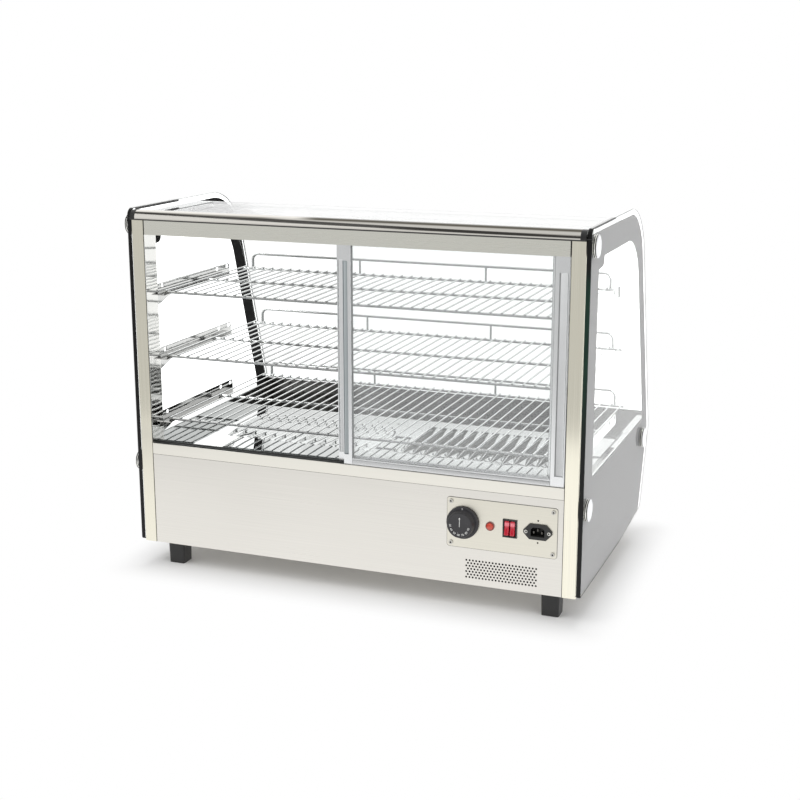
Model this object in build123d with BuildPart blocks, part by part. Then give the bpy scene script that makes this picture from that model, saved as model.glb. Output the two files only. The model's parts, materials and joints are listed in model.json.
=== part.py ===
from build123d import *
from math import cos, radians, sin, tan
import os

os.makedirs("parts", exist_ok=True)

# A heated display case for a counter, in millimetres.
# +Z is up, +X is to the operator's right and +Y points to the customer.
# The origin lies on the floor, in the middle of the whole case.
# Depths, the values whose names end in _y, are counted from the rear face of the posts.

# Whole case
case_height = 670.0  # floor to the top edge of the side glass
glass_depth = 540.0  # rear face of the posts to the nose of the glass
post_span = 827.4  # outer face to outer face of the posts
foot_height = 48.0
sheet = 1.2  # folded steel of the base, posts and header

# Posts and header
post_width = 24.7
post_depth = 42.0
post_edge = 2.0
post_drop = 20.6  # the side glass stands this far above the posts
header_height = 25.4
slot_pitch = 23.9
slot_height = 14.0
slot_width = 3.0

# Rear panel with its control plate and vent field
panel_height = 171.0
plate_side_gap = 9.0  # plate to the inner face of the right post
plate_rise = 111.0  # underside of the base to the middle of the plate
plate_width = 195.0
plate_height = 89.0
plate_sheet = 1.0
plate_corner = 5.0
plate_land_x = 10.5  # overlap of the plate on the panel beside the cut-out
plate_land_z = 14.5
plate_screw_inset = 7.5
plate_screw = 4.0
plate_screw_head = 7.5
plate_screw_crown = 2.0
plate_screw_length = 8.0
screw_play = 0.4
screw_cross = 1.2
vent_rise = 29.2
vent_hole = 3.5
vent_pitch = 5.9
vent_columns = 22
vent_rows = 7

# Feet
foot_size = 33.0
foot_corner = 4.0
foot_taper = 1.5
foot_inset_x = 9.0  # from the inner face of the post
foot_rear_y = 41.5
foot_front_setback = 25.0  # from the fold where the bottom starts to rise

# Side glass and its printed border
side_glass_thick = 8.0
print_thick = 0.3
glass_lift = 2.0
front_lean = 17.3
under_lean = 19.6
nose_drop = 2.0  # middle of the nose below the underside of the deck
nose_radius = 25.0
top_radius = 130.0
rear_top_radius = 14.0
rear_foot_radius = 4.0
chin_reach = 210.0  # nose to the end of the flat bottom edge
chin_rise = 12.0
chin_radius = 20.0
chin_bend = 60.0
print_front_margin = 9.5
print_top_margin = 10.5
print_rear_margin = 3.0
window_front_margin = 51.0
window_top_margin = 55.0
window_sill_margin = 3.5
window_post_margin = 21.0
window_step_depth = 38.0
window_step_height = 16.0
window_step_slope = 3.0
window_corner = 10.0
window_bend = 105.0  # corner at the top of the front
window_step_corner = 3.0
window_step_round = 12.0

# Bent top and front glass
bent_thick = 5.0
bent_inset = 10.0
bent_radius = 215.0
bent_side_gap = 0.7
bent_seat_gap = 0.2
bent_rear_y = 8.0
band_rise = 33.0  # printed band along the lower edge

# Top rail with its end caps
rail_height = 17.6
rail_bulge = 4.0
rail_reach = 30.0
rail_lip_y = 18.0
rail_groove_y = 7.0
rail_round = 13.0
rail_edge = 3.0
groove_play = 0.3
cap_length = 9.5
cap_gap = 0.3

# Chromed knobs that hold the side glass
knob_dia = 38.0
knob_thick = 7.5
knob_groove = 1.0
knob_shank = 8.0
knob_shank_play = 0.4
knob_glass_hole = 10.0
knob_shank_reach = 9.0  # past the outer face of the post
knob_top_drop = 9.4  # below the top of the post
knob_low_drop = 19.0  # below the underside of the deck
knob_front_setback = 70.0
knob_front_drop = 9.0

# Doors and their tracks
door_thick = 9.0
door_play = 0.7
fin = 1.2
sill_height = 20.5
sill_lip = 2.6
sill_web = 1.5
sill_floor = 9.0
fin_step = 1.0
track_web = 2.0
track_drop = 20.0
lift_room = 11.0
door_overlap = 7.5  # past the middle of the case
door_side_gap = 1.5
door_peek = 15.0  # the open left door shows this much beside the right door
outer_stile = 24.0
meeting_stile = 15.5
door_foot_rail = 21.0
door_head_rail = 11.0
door_glass = 4.0
door_glass_play = 0.4
glass_groove = 5.0
pull_depth = 3.5
pull_foot = 28.0
pull_head = 38.0
pull_outer_edge = 2.0
pull_outer_width = 15.0
pull_meeting_edge = 1.2
pull_meeting_width = 8.0
glide_length = 36.0
glide_width = 5.0
glide_inset = 60.0
glide_pocket = 4.5
glide_stand = 1.5
glide_play = 0.2
glide_gap = 0.1

# Shelves and brackets
shelf_rise = 57.0  # deck to the wires of the lowest shelf
shelf_steps = 5  # post slots from one shelf to the next
shelf_wire = 3.0
wire_pitch = 20.0
wire_side_margin = 3.0  # room for the outermost wires at the rod ends
shelf_rod = 5.0
rod_side_gap = 4.0  # rod ends to the inner faces of the posts
rod_rear_gap = 14.0  # post to the rear rod
wire_tail = 2.0
weld_sink = 0.6
guard_height = 26.0
guard_setback = 20.0  # rod ends to the ends of the guard rail
guard_round = 12.0
upright_inset = 235.0  # ends of the guard rail to its uprights
upright_dia = 4.0
guard_clear = 48.0
guard_weld = 0.8
guard_tail = 1.0
bracket_sheet = 1.5
bracket_inset = 4.0
bracket_reach = 284.0
bracket_head = 13.0
bracket_gusset = 28.0
bracket_gusset_reach = 75.0
bracket_flange = 20.0
bracket_corner = 6.0
rod_seat_gap = 0.2
hook_drop = 18.0
hook_height = 8.0
hook_lip = 5.0
hook_play = 0.2
hook_thick = 2.0
bracket_slot_length = 9.0
bracket_slot_height = 7.0
bracket_slot_rise = 7.5
bracket_slot_rear = 23.0
bracket_slot_mid = 51.0
bracket_slot_end = 10.0

# Deck
deck_sheet = 1.0
deck_post_gap = 0.3
deck_rear_gap = 0.2
deck_glass_gap = 2.0
deck_side_gap = 0.5
ledge_depth = 36.0
wall_inset = 13.7
wall_height = 27.0
wall_sheet = 1.0
wall_rear_gap = 0.5
wall_front_gap = 1.5
louvre_side_margin = 60.0  # room between the louvres and the deck walls
louvre_pitch = 21.5
louvre_first = 28.0
louvre_width = 12.0
louvre_height = 7.0
louvre_y = 160.0
louvre_length = 200.0

# Controls
dial_dx = -68.5
dial_dz = 1.0
dial_skirt = 57.0
dial_skirt_thick = 4.7
dial_grip = 47.0
dial_grip_height = 14.5
dial_edge = 1.5
dial_gap = 0.8
dial_wall = 6.0
dial_mark_width = 2.0
dial_mark_depth = 0.6
spindle_dia = 6.0
spindle_play = 0.05
spindle_depth = 14.0
spindle_end_gap = 0.5
bushing_dia = 10.0
bushing_play = 0.1
thermostat_size = 36.0
thermostat_depth = 25.0
capillary = 1.6
capillary_turn = 10.0
probe_leg = 26.0
probe_run = 48.0
bulb_dia = 6.0
bulb_length = 50.0
bulb_gap = 0.2
lamp_dx = -20.0
lamp_flange = 15.6
lamp_flange_thick = 2.0
lamp_lens = 12.4
lamp_dome = 4.0
lamp_body = 12.0
lamp_depth = 22.0
switch_dx = 15.0
switch_width = 25.0
switch_height = 32.0
switch_flange = 2.0
switch_rim = 1.5
switch_wall = 0.7
switch_depth = 20.0
switch_pit = 12.0
panel_play = 0.2
rocker_gap = 0.3
rocker_tilt = 9.0
rocker_pivot = 3.0
rocker_crown = 8.5
rocker_waist = 6.5
rocker_back = 6.0
rocker_end_gap = 1.3
inlet_dx = 63.8
inlet_length = 49.7
inlet_height = 27.0
inlet_flat = 29.0
inlet_tip = 5.0
inlet_flange = 3.0
inlet_body_x = 28.0
inlet_body_z = 20.0
inlet_depth = 24.0
inlet_wall = 2.0
inlet_pit = 15.0
inlet_key = 4.0
pin_width = 2.0
pin_height = 4.0
pin_pitch = 7.0
pin_length = 16.0
pin_live_dz = -1.0
pin_earth_dz = 3.0
inlet_screw = 3.0
inlet_screw_head = 6.0
inlet_screw_crown = 1.5
inlet_screw_length = 9.0
inlet_screw_span = 40.0
spare_hole = 3.0
spare_hole_dz = 19.5

# Heaters, lamp and terminals inside
heater_dia = 8.0
heater_x = 45.0
heater_end_gap = 84.0  # far end of an element to the post
heater_rise = 100.0
heater_leg = 60.0
heater_legs = 4
heater_fold_gap = 15.0
heater_turn_gap = 1.0
heater_play = 0.15
stand_inset = 65.0
stand_sheet = 1.5
stand_edge = 10.0
tube_dia = 16.0
tube_end_gap = 129.0  # end of the lamp to the post
tube_y = 50.0
holder_thick = 14.0
holder_width = 28.0
holder_grip = 8.0
holder_below = 4.0
tube_play = 0.15
terminal_side_gap = 29.0  # terminals to the inner face of the right post
terminal_y = 70.0
terminal_length = 60.0
terminal_width = 20.0
terminal_height = 16.0
terminal_hole = 5.0
terminal_ways = 5

# Places that follow from the sizes
lean = radians(front_lean)
under = radians(under_lean)
half_span = post_span / 2
post_inner = half_span - post_width
post_top = case_height - post_drop
base_z = foot_height
deck_under = base_z + panel_height
deck_top = deck_under + deck_sheet
sill_top = deck_under + sill_height
header_z = post_top - header_height
glass_z = base_z + glass_lift
chin_z = glass_z + chin_rise
flat_y = glass_depth - chin_reach
nose_height = deck_under - nose_drop
plate_x = post_inner - plate_side_gap - plate_width / 2
plate_z = base_z + plate_rise
panel_y = plate_sheet
glass_inner = half_span + print_thick
glass_outer = glass_inner + side_glass_thick
dial_reach = dial_gap + dial_skirt_thick + dial_grip_height
rear_y = -(glass_depth - dial_reach) / 2
lane_pitch = door_thick + 2 * door_play + fin
outer_door_y = sill_lip + door_play
inner_door_y = outer_door_y + lane_pitch
sill_depth = sill_lip + 2 * lane_pitch
track_floor = deck_under + sill_floor
door_z = track_floor + glide_stand
door_top = post_top - sheet - track_web - lift_room
bent_inner = bent_inset + bent_thick
bent_foot = deck_under + bent_seat_gap
shelf_z = [deck_top + shelf_rise + level * shelf_steps * slot_pitch for level in range(3)]
rod_half = post_inner - rod_side_gap
guard_half = rod_half - guard_setback
upright_x = guard_half - upright_inset
wire_columns = 2 * int((rod_half - wire_side_margin) / wire_pitch) + 1
heater_length = post_inner - heater_x - heater_end_gap
tube_half = post_inner - tube_end_gap
terminal_x = post_inner - terminal_side_gap - terminal_length / 2
sides = ((-1, "left"), (1, "right"))
floors = tuple(zip(("lower", "middle", "upper"), shelf_z))


def nose(inset):
    """Sharp corner of the glass outline at the nose, moved inwards by the inset."""
    radius = nose_radius - inset
    spread = sin(lean + under)
    forward = radius * (sin(under) + sin(lean)) / spread
    rise = radius * (cos(under) - cos(lean)) / spread
    return glass_depth - nose_radius + forward, nose_height + rise


def front_y(z, inset):
    """Depth of the leaning front line at a height."""
    nose_y, nose_z = nose(inset)
    return nose_y - tan(lean) * (z - nose_z)


def under_y(z, inset):
    """Depth of the line that runs back below the nose at a height."""
    nose_y, nose_z = nose(inset)
    return nose_y - tan(under) * (nose_z - z)


def at(y, z):
    """A point of a side view."""
    return rear_y + y, z


def skin_plane(side, inner, thick):
    """Plane for a plate of a side, on its face with the lower X."""
    return Plane.YZ.offset(inner if side > 0 else -inner - thick)


def back_plane(y):
    """Plane seen from the operator, at a depth. Extrusions run towards the operator."""
    return Plane.XZ.offset(-(rear_y + y))


def block(x0, x1, y0, y1, z0, z1, mode=Mode.ADD):
    """A box between two corners."""
    with Locations(((x0 + x1) / 2, rear_y + (y0 + y1) / 2, (z0 + z1) / 2)):
        Box(abs(x1 - x0), abs(y1 - y0), abs(z1 - z0), mode=mode)


def save(piece, name):
    """Label a finished piece and write it."""
    piece.part.label = name
    export_step(piece.part, f"parts/{name}.step")


# Outlines shared by pieces
side_outline = [
    at(0, glass_z),
    at(0, case_height),
    at(front_y(case_height, 0), case_height),
    at(*nose(0)),
    at(under_y(chin_z, 0), chin_z),
    at(flat_y, glass_z),
]
side_radii = [rear_foot_radius, rear_top_radius, top_radius, nose_radius, chin_radius, chin_bend]

border_top = case_height - print_top_margin
border_foot = glass_z + print_rear_margin
border_chin = chin_z + print_rear_margin
border_outline = [
    at(print_rear_margin, border_foot),
    at(print_rear_margin, border_top),
    at(front_y(border_top, print_front_margin), border_top),
    at(*nose(print_front_margin)),
    at(under_y(border_chin, print_front_margin), border_chin),
    at(flat_y, border_foot),
]
border_radii = [
    rear_foot_radius,
    rear_top_radius - print_rear_margin,
    top_radius - print_front_margin,
    nose_radius - print_front_margin,
    chin_radius - print_rear_margin,
    chin_bend,
]

window_foot = sill_top + window_sill_margin
window_top = case_height - window_top_margin
window_rear_y = post_depth + window_post_margin
window_step_y = window_rear_y + window_step_depth
window_step_z = window_top - window_step_height
window_outline = [
    at(window_rear_y, window_foot),
    at(window_rear_y, window_step_z - window_step_slope),
    at(window_step_y, window_step_z),
    at(window_step_y, window_top),
    at(front_y(window_top, window_front_margin), window_top),
    at(front_y(window_foot, window_front_margin), window_foot),
]
window_radii = [
    window_corner,
    window_step_corner,
    window_step_round,
    window_step_corner,
    window_bend,
    window_corner,
]

knob_spots = [
    at(post_depth / 2, post_top - knob_top_drop),
    at(post_depth / 2, deck_under - knob_low_drop),
    at(glass_depth - knob_front_setback, deck_under - knob_front_drop),
]
post_knob_spots = knob_spots[:2]
base_knob_spots = knob_spots[2:]

base_chin_z = base_z + chin_rise
apron_chin_y = under_y(base_chin_z, bent_inset)
apron_top_y = under_y(deck_under, bent_inset)
pan_half = half_span - sheet

# Base: one folded sheet for the bottom, the chin, the apron and the ledge of the bent glass
with BuildPart() as base_pan:
    with BuildSketch(Plane.YZ):
        with BuildLine():
            Polyline(
                at(panel_y + sheet, base_z),
                at(flat_y, base_z),
                at(apron_chin_y, base_chin_z),
                at(apron_top_y, deck_under),
                at(apron_top_y - ledge_depth, deck_under),
            )
            offset(amount=sheet, side=Side.LEFT, closed=True, kind=Kind.INTERSECTION)
        make_face()
    extrude(amount=pan_half, both=True)
    for side, hand in sides:
        block(side * post_inner, side * half_span, 0, post_depth, base_z, base_z + sheet, Mode.SUBTRACT)
save(base_pan, "base_pan")

for side, hand in sides:
    with BuildPart() as base_side:
        with BuildSketch(skin_plane(side, pan_half, sheet)):
            with BuildLine():
                Polyline(
                    at(post_depth, base_z),
                    at(post_depth, deck_under),
                    at(apron_top_y, deck_under),
                    at(apron_chin_y, base_chin_z),
                    at(flat_y, base_z),
                    close=True,
                )
            make_face()
            with Locations(*base_knob_spots):
                Circle((knob_shank + knob_shank_play) / 2, mode=Mode.SUBTRACT)
        extrude(amount=sheet)
    save(base_side, f"base_side_{hand}")

# Rear panel, open behind the control plate and drilled for the vents
with BuildPart() as rear_panel:
    with BuildSketch(back_plane(panel_y + sheet)):
        with Locations((0, base_z + panel_height / 2)):
            Rectangle(2 * post_inner, panel_height)
        with Locations((plate_x, plate_z)):
            Rectangle(plate_width - 2 * plate_land_x, plate_height - 2 * plate_land_z, mode=Mode.SUBTRACT)
            with GridLocations(
                plate_width - 2 * plate_screw_inset, plate_height - 2 * plate_screw_inset, 2, 2
            ):
                Circle((plate_screw + screw_play) / 2, mode=Mode.SUBTRACT)
        for row in range(vent_rows):
            row_z = (row - (vent_rows - 1) / 2) * vent_pitch * sin(radians(60))
            with Locations((plate_x, base_z + vent_rise + row_z)):
                with GridLocations(vent_pitch, vent_pitch, vent_columns - row % 2, 1):
                    Circle(vent_hole / 2, mode=Mode.SUBTRACT)
    extrude(amount=sheet)
save(rear_panel, "rear_panel")

# Feet
foot_x = post_inner - foot_inset_x - foot_size / 2
for end, foot_y in (("rear", foot_rear_y), ("front", flat_y - foot_front_setback)):
    for side, hand in sides:
        with BuildPart() as foot:
            with BuildSketch(Plane.XY.offset(foot_height)):
                with Locations((side * foot_x, rear_y + foot_y)):
                    RectangleRounded(foot_size, foot_size, foot_corner)
            extrude(amount=-foot_height, taper=foot_taper)
        save(foot, f"foot_{end}_{hand}")

# Posts: tubes with bracket slots towards the customer and holes for the glass knobs
slot_first = shelf_z[0] - hook_drop
slot_count = int((header_z - slot_first) / slot_pitch)
slot_x = post_inner + bracket_inset + bracket_sheet / 2
for side, hand in sides:
    with BuildPart() as post:
        with BuildSketch(Plane.XY.offset(base_z)):
            with Locations((side * (half_span - post_width / 2), rear_y + post_depth / 2)):
                RectangleRounded(post_width, post_depth, post_edge)
                Rectangle(post_width - 2 * sheet, post_depth - 2 * sheet, mode=Mode.SUBTRACT)
        extrude(amount=post_top - base_z)
        with BuildSketch(back_plane(post_depth)):
            with Locations((side * slot_x, slot_first + (slot_count - 1) * slot_pitch / 2)):
                with GridLocations(slot_pitch, slot_pitch, 1, slot_count):
                    Rectangle(slot_width, slot_height)
        extrude(amount=sheet, mode=Mode.SUBTRACT)
        with BuildSketch(skin_plane(side, half_span - sheet, sheet)):
            with Locations(*post_knob_spots):
                Circle((knob_shank + knob_shank_play) / 2)
        extrude(amount=sheet, mode=Mode.SUBTRACT)
    save(post, f"post_{hand}")

# Header over the doors, with the upper door track behind it
with BuildPart() as header:
    block(-post_inner, post_inner, 0, sheet, header_z, post_top)
    block(-post_inner, post_inner, 0, post_depth, post_top - sheet, post_top)
save(header, "header")

track_top = post_top - sheet
with BuildPart() as door_track:
    block(-post_inner, post_inner, sill_lip - fin, sill_depth, track_top - track_web, track_top)
    for lane in range(3):
        fin_y = sill_lip + lane * lane_pitch
        block(-post_inner, post_inner, fin_y - fin, fin_y, track_top - track_web - track_drop, track_top)
save(door_track, "door_track")

# Sill with the lower door track
with BuildPart() as sill:
    block(-post_inner, post_inner, 0, sill_lip, deck_under, sill_top)
    block(-post_inner, post_inner, 0, sill_depth, track_floor - sill_web, track_floor)
    for lane in (1, 2):
        fin_y = sill_lip + lane * lane_pitch
        block(-post_inner, post_inner, fin_y - fin, fin_y, track_floor - sill_web, sill_top - fin_step)
    block(-post_inner, post_inner, sill_depth - fin, sill_depth, deck_under, track_floor)
save(sill, "sill")

# Top rail and its end caps, grooved for the bent glass
rail_top = post_top + rail_height
groove_top = case_height - bent_inset + groove_play
groove_foot = case_height - bent_inner - groove_play
rail_outline = [
    at(-rail_bulge, post_top),
    at(-rail_bulge, rail_top),
    at(rail_lip_y, rail_top),
    at(rail_lip_y, groove_top),
    at(rail_groove_y, groove_top),
    at(rail_groove_y, groove_foot),
    at(rail_reach, groove_foot),
    at(rail_reach, post_top),
]
rail_radii = [rail_edge, rail_round, rail_edge, 0, 0, 0, 0, 0]
rail_half = half_span - cap_length

with BuildPart() as top_rail:
    with BuildSketch(Plane.YZ):
        with BuildLine():
            FilletPolyline(*rail_outline, radius=rail_radii, close=True)
        make_face()
    extrude(amount=rail_half, both=True)
save(top_rail, "top_rail")

for side, hand in sides:
    with BuildPart() as rail_cap:
        with BuildSketch(skin_plane(side, rail_half, cap_length)):
            with BuildLine():
                FilletPolyline(*rail_outline, radius=rail_radii, close=True)
            make_face()
        extrude(amount=cap_length)
        block(
            side * rail_half,
            side * glass_outer,
            -rail_bulge,
            -cap_gap,
            post_top + rail_edge,
            rail_top - rail_round,
        )
    save(rail_cap, f"rail_cap_{hand}")

# Side glass and its printed border on the inner face
for side, hand in sides:
    with BuildPart() as side_glass:
        with BuildSketch(skin_plane(side, glass_inner, side_glass_thick)):
            with BuildLine():
                FilletPolyline(*side_outline, radius=side_radii, close=True)
            make_face()
            with Locations(*knob_spots):
                Circle(knob_glass_hole / 2, mode=Mode.SUBTRACT)
        extrude(amount=side_glass_thick)
    save(side_glass, f"side_glass_{hand}")

    with BuildPart() as side_print:
        with BuildSketch(skin_plane(side, half_span, print_thick)):
            with BuildLine():
                FilletPolyline(*border_outline, radius=border_radii, close=True)
            make_face()
            with BuildLine():
                FilletPolyline(*window_outline, radius=window_radii, close=True)
            make_face(mode=Mode.SUBTRACT)
            with Locations(*knob_spots):
                Circle(knob_glass_hole / 2, mode=Mode.SUBTRACT)
        extrude(amount=print_thick)
    save(side_print, f"side_print_{hand}")

# Bent glass: top and front in one pane, and the printed band along its lower edge
bent_half = half_span - bent_side_gap
bent_top = case_height - bent_inset
bent_ceiling = case_height - bent_inner
with BuildPart() as bent_glass:
    with BuildSketch(Plane.YZ):
        with BuildLine():
            FilletPolyline(
                at(bent_rear_y, bent_top),
                at(front_y(bent_top, bent_inset), bent_top),
                at(front_y(bent_foot, bent_inset), bent_foot),
                at(front_y(bent_foot, bent_inner), bent_foot),
                at(front_y(bent_ceiling, bent_inner), bent_ceiling),
                at(bent_rear_y, bent_ceiling),
                radius=[0, bent_radius, 0, 0, bent_radius - bent_thick, 0],
                close=True,
            )
        make_face()
    extrude(amount=bent_half, both=True)
save(bent_glass, "bent_glass")

band_inset = bent_inner + print_thick
band_top = deck_under + band_rise
with BuildPart() as front_print:
    with BuildSketch(Plane.YZ):
        with BuildLine():
            Polyline(
                at(front_y(bent_foot, bent_inner), bent_foot),
                at(front_y(band_top, bent_inner), band_top),
                at(front_y(band_top, band_inset), band_top),
                at(front_y(bent_foot, band_inset), bent_foot),
                close=True,
            )
        make_face()
    extrude(amount=bent_half, both=True)
save(front_print, "front_print")

# Chromed knobs with a ridged rim, each with its shank through the glass
knob_band = knob_thick / 5
with BuildPart() as glass_knobs:
    for side, hand in sides:
        for knob_y, knob_z in knob_spots:
            with BuildSketch(Plane.XY.offset(knob_z)):
                with BuildLine():
                    profile = [
                        (half_span - knob_shank_reach, 0),
                        (half_span - knob_shank_reach, knob_shank / 2),
                        (glass_outer, knob_shank / 2),
                        (glass_outer, knob_dia / 2),
                    ]
                    for band in (1, 3):
                        rim_x = glass_outer + band * knob_band
                        profile += [
                            (rim_x, knob_dia / 2),
                            (rim_x, knob_dia / 2 - knob_groove),
                            (rim_x + knob_band, knob_dia / 2 - knob_groove),
                            (rim_x + knob_band, knob_dia / 2),
                        ]
                    profile += [
                        (glass_outer + knob_thick, knob_dia / 2 - knob_groove),
                        (glass_outer + knob_thick, 0),
                    ]
                    Polyline(*[(side * x, knob_y + r) for x, r in profile], close=True)
                make_face()
            revolve(axis=Axis((0, knob_y, knob_z), (1, 0, 0)))
save(glass_knobs, "glass_knobs")

# Sliding doors: a grooved frame with finger pulls, a pane and two glides
door_width = post_inner - door_side_gap + door_overlap
doors = (
    ("left", -door_overlap - door_peek, inner_door_y, outer_stile, meeting_stile),
    ("right", -door_overlap, outer_door_y, meeting_stile, outer_stile),
)
pane_z = door_z + door_foot_rail
pane_top = door_top - door_head_rail
pull_z = door_z + pull_foot
pull_top = door_top - pull_head
for hand, door_x, door_y, stile_0, stile_1 in doors:
    end_x = door_x + door_width
    pane_x0 = door_x + stile_0
    pane_x1 = end_x - stile_1
    mid_y = door_y + door_thick / 2
    groove_half = (door_glass + door_glass_play) / 2
    glide_spots = (door_x + glide_inset, end_x - glide_inset)
    if hand == "left":
        pulls = (
            (door_x + pull_outer_edge, door_x + pull_outer_edge + pull_outer_width),
            (end_x - pull_meeting_edge - pull_meeting_width, end_x - pull_meeting_edge),
        )
    else:
        pulls = (
            (door_x + pull_meeting_edge, door_x + pull_meeting_edge + pull_meeting_width),
            (end_x - pull_outer_edge - pull_outer_width, end_x - pull_outer_edge),
        )

    with BuildPart() as door_frame:
        block(door_x, end_x, door_y, door_y + door_thick, door_z, door_top)
        block(pane_x0, pane_x1, door_y, door_y + door_thick, pane_z, pane_top, Mode.SUBTRACT)
        block(
            pane_x0 - glass_groove,
            pane_x1 + glass_groove,
            mid_y - groove_half,
            mid_y + groove_half,
            pane_z - glass_groove,
            pane_top + glass_groove,
            Mode.SUBTRACT,
        )
        for pull_x0, pull_x1 in pulls:
            block(pull_x0, pull_x1, door_y, door_y + pull_depth, pull_z, pull_top, Mode.SUBTRACT)
        for glide_x in glide_spots:
            block(
                glide_x - glide_length / 2 - glide_play,
                glide_x + glide_length / 2 + glide_play,
                mid_y - glide_width / 2 - glide_play,
                mid_y + glide_width / 2 + glide_play,
                door_z,
                door_z + glide_pocket,
                Mode.SUBTRACT,
            )
    save(door_frame, f"{hand}_door_frame")

    with BuildPart() as door_pane:
        block(
            pane_x0 - glass_groove + door_glass_play,
            pane_x1 + glass_groove - door_glass_play,
            mid_y - door_glass / 2,
            mid_y + door_glass / 2,
            pane_z - glass_groove + door_glass_play,
            pane_top + glass_groove - door_glass_play,
        )
    save(door_pane, f"{hand}_door_glass")

    with BuildPart() as door_glides:
        for glide_x in glide_spots:
            block(
                glide_x - glide_length / 2,
                glide_x + glide_length / 2,
                mid_y - glide_width / 2,
                mid_y + glide_width / 2,
                track_floor + glide_gap,
                door_z + glide_pocket,
            )
    save(door_glides, f"{hand}_door_glides")

# Wire shelves: rods across, wires over them, and a guard rail towards the customer
rear_rod_y = post_depth + rod_rear_gap
for floor, wire_z in floors:
    guard_y = front_y(wire_z + guard_height, bent_inner) - guard_clear
    front_rod_y = guard_y - shelf_rod + guard_weld
    mid_rod_y = (rear_rod_y + front_rod_y) / 2
    rod_z = wire_z - shelf_wire / 2 - shelf_rod / 2 + weld_sink
    wire_rear_y = rear_rod_y - shelf_rod / 2 - wire_tail
    with BuildPart() as shelf:
        with BuildSketch(Plane.YZ):
            with Locations(at(rear_rod_y, rod_z), at(mid_rod_y, rod_z), at(front_rod_y, rod_z)):
                Circle(shelf_rod / 2)
        extrude(amount=rod_half, both=True)
        with BuildLine(back_plane(guard_y)) as guard_line:
            FilletPolyline(
                (-guard_half, rod_z - guard_tail),
                (-guard_half, wire_z + guard_height),
                (guard_half, wire_z + guard_height),
                (guard_half, rod_z - guard_tail),
                radius=guard_round,
            )
        with BuildSketch(Plane(origin=guard_line.line @ 0, z_dir=guard_line.line % 0)):
            Circle(shelf_rod / 2)
        sweep()
        with BuildSketch(Plane.XY.offset(rod_z - guard_tail)):
            with Locations((-upright_x, rear_y + guard_y), (upright_x, rear_y + guard_y)):
                Circle(upright_dia / 2)
        extrude(amount=wire_z + guard_height - rod_z + guard_tail)
        with BuildSketch(back_plane(guard_y)):
            with Locations((0, wire_z)):
                with GridLocations(wire_pitch, wire_pitch, wire_columns, 1):
                    Circle(shelf_wire / 2)
        extrude(amount=guard_y - wire_rear_y)
    save(shelf, f"shelf_{floor}")

# Shelf brackets, hooked into the posts
bracket_front_y = post_depth + bracket_reach
bracket_inner = post_inner + bracket_inset
for floor, wire_z in floors:
    rod_foot = wire_z - shelf_wire / 2 - shelf_rod + weld_sink
    flange_top = rod_foot - rod_seat_gap
    flange_foot = flange_top - bracket_sheet
    slot_z = wire_z + bracket_slot_rise
    slot_spots = (
        at(post_depth + bracket_slot_rear, slot_z),
        at(bracket_front_y - bracket_slot_mid, slot_z),
        at(bracket_front_y - bracket_slot_end, slot_z),
    )
    for side, hand in sides:
        with BuildPart() as bracket:
            with BuildSketch(skin_plane(side, bracket_inner, bracket_sheet)):
                with BuildLine():
                    FilletPolyline(
                        at(post_depth, wire_z - bracket_gusset),
                        at(post_depth, wire_z + bracket_head),
                        at(bracket_front_y, wire_z + bracket_head),
                        at(bracket_front_y, flange_foot),
                        at(post_depth + bracket_gusset_reach, flange_foot),
                        radius=[0, 0, bracket_corner, 0, 0],
                        close=True,
                    )
                make_face()
                with Locations(*slot_spots):
                    Rectangle(bracket_slot_length, bracket_slot_height, mode=Mode.SUBTRACT)
            extrude(amount=bracket_sheet)
            block(
                side * (bracket_inner + bracket_sheet - bracket_flange),
                side * (bracket_inner + bracket_sheet),
                post_depth,
                bracket_front_y,
                flange_foot,
                flange_top,
            )
            hook_front = post_depth - sheet - hook_play
            for step in (0, 1):
                hook_z = wire_z - hook_drop + step * slot_pitch - slot_height / 2
                block(
                    side * bracket_inner,
                    side * (bracket_inner + bracket_sheet),
                    hook_front - hook_thick,
                    post_depth,
                    hook_z,
                    hook_z + hook_height,
                )
                block(
                    side * bracket_inner,
                    side * (bracket_inner + bracket_sheet),
                    hook_front - hook_thick,
                    hook_front,
                    hook_z - hook_lip,
                    hook_z,
                )
        save(bracket, f"bracket_{floor}_{hand}")

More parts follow.
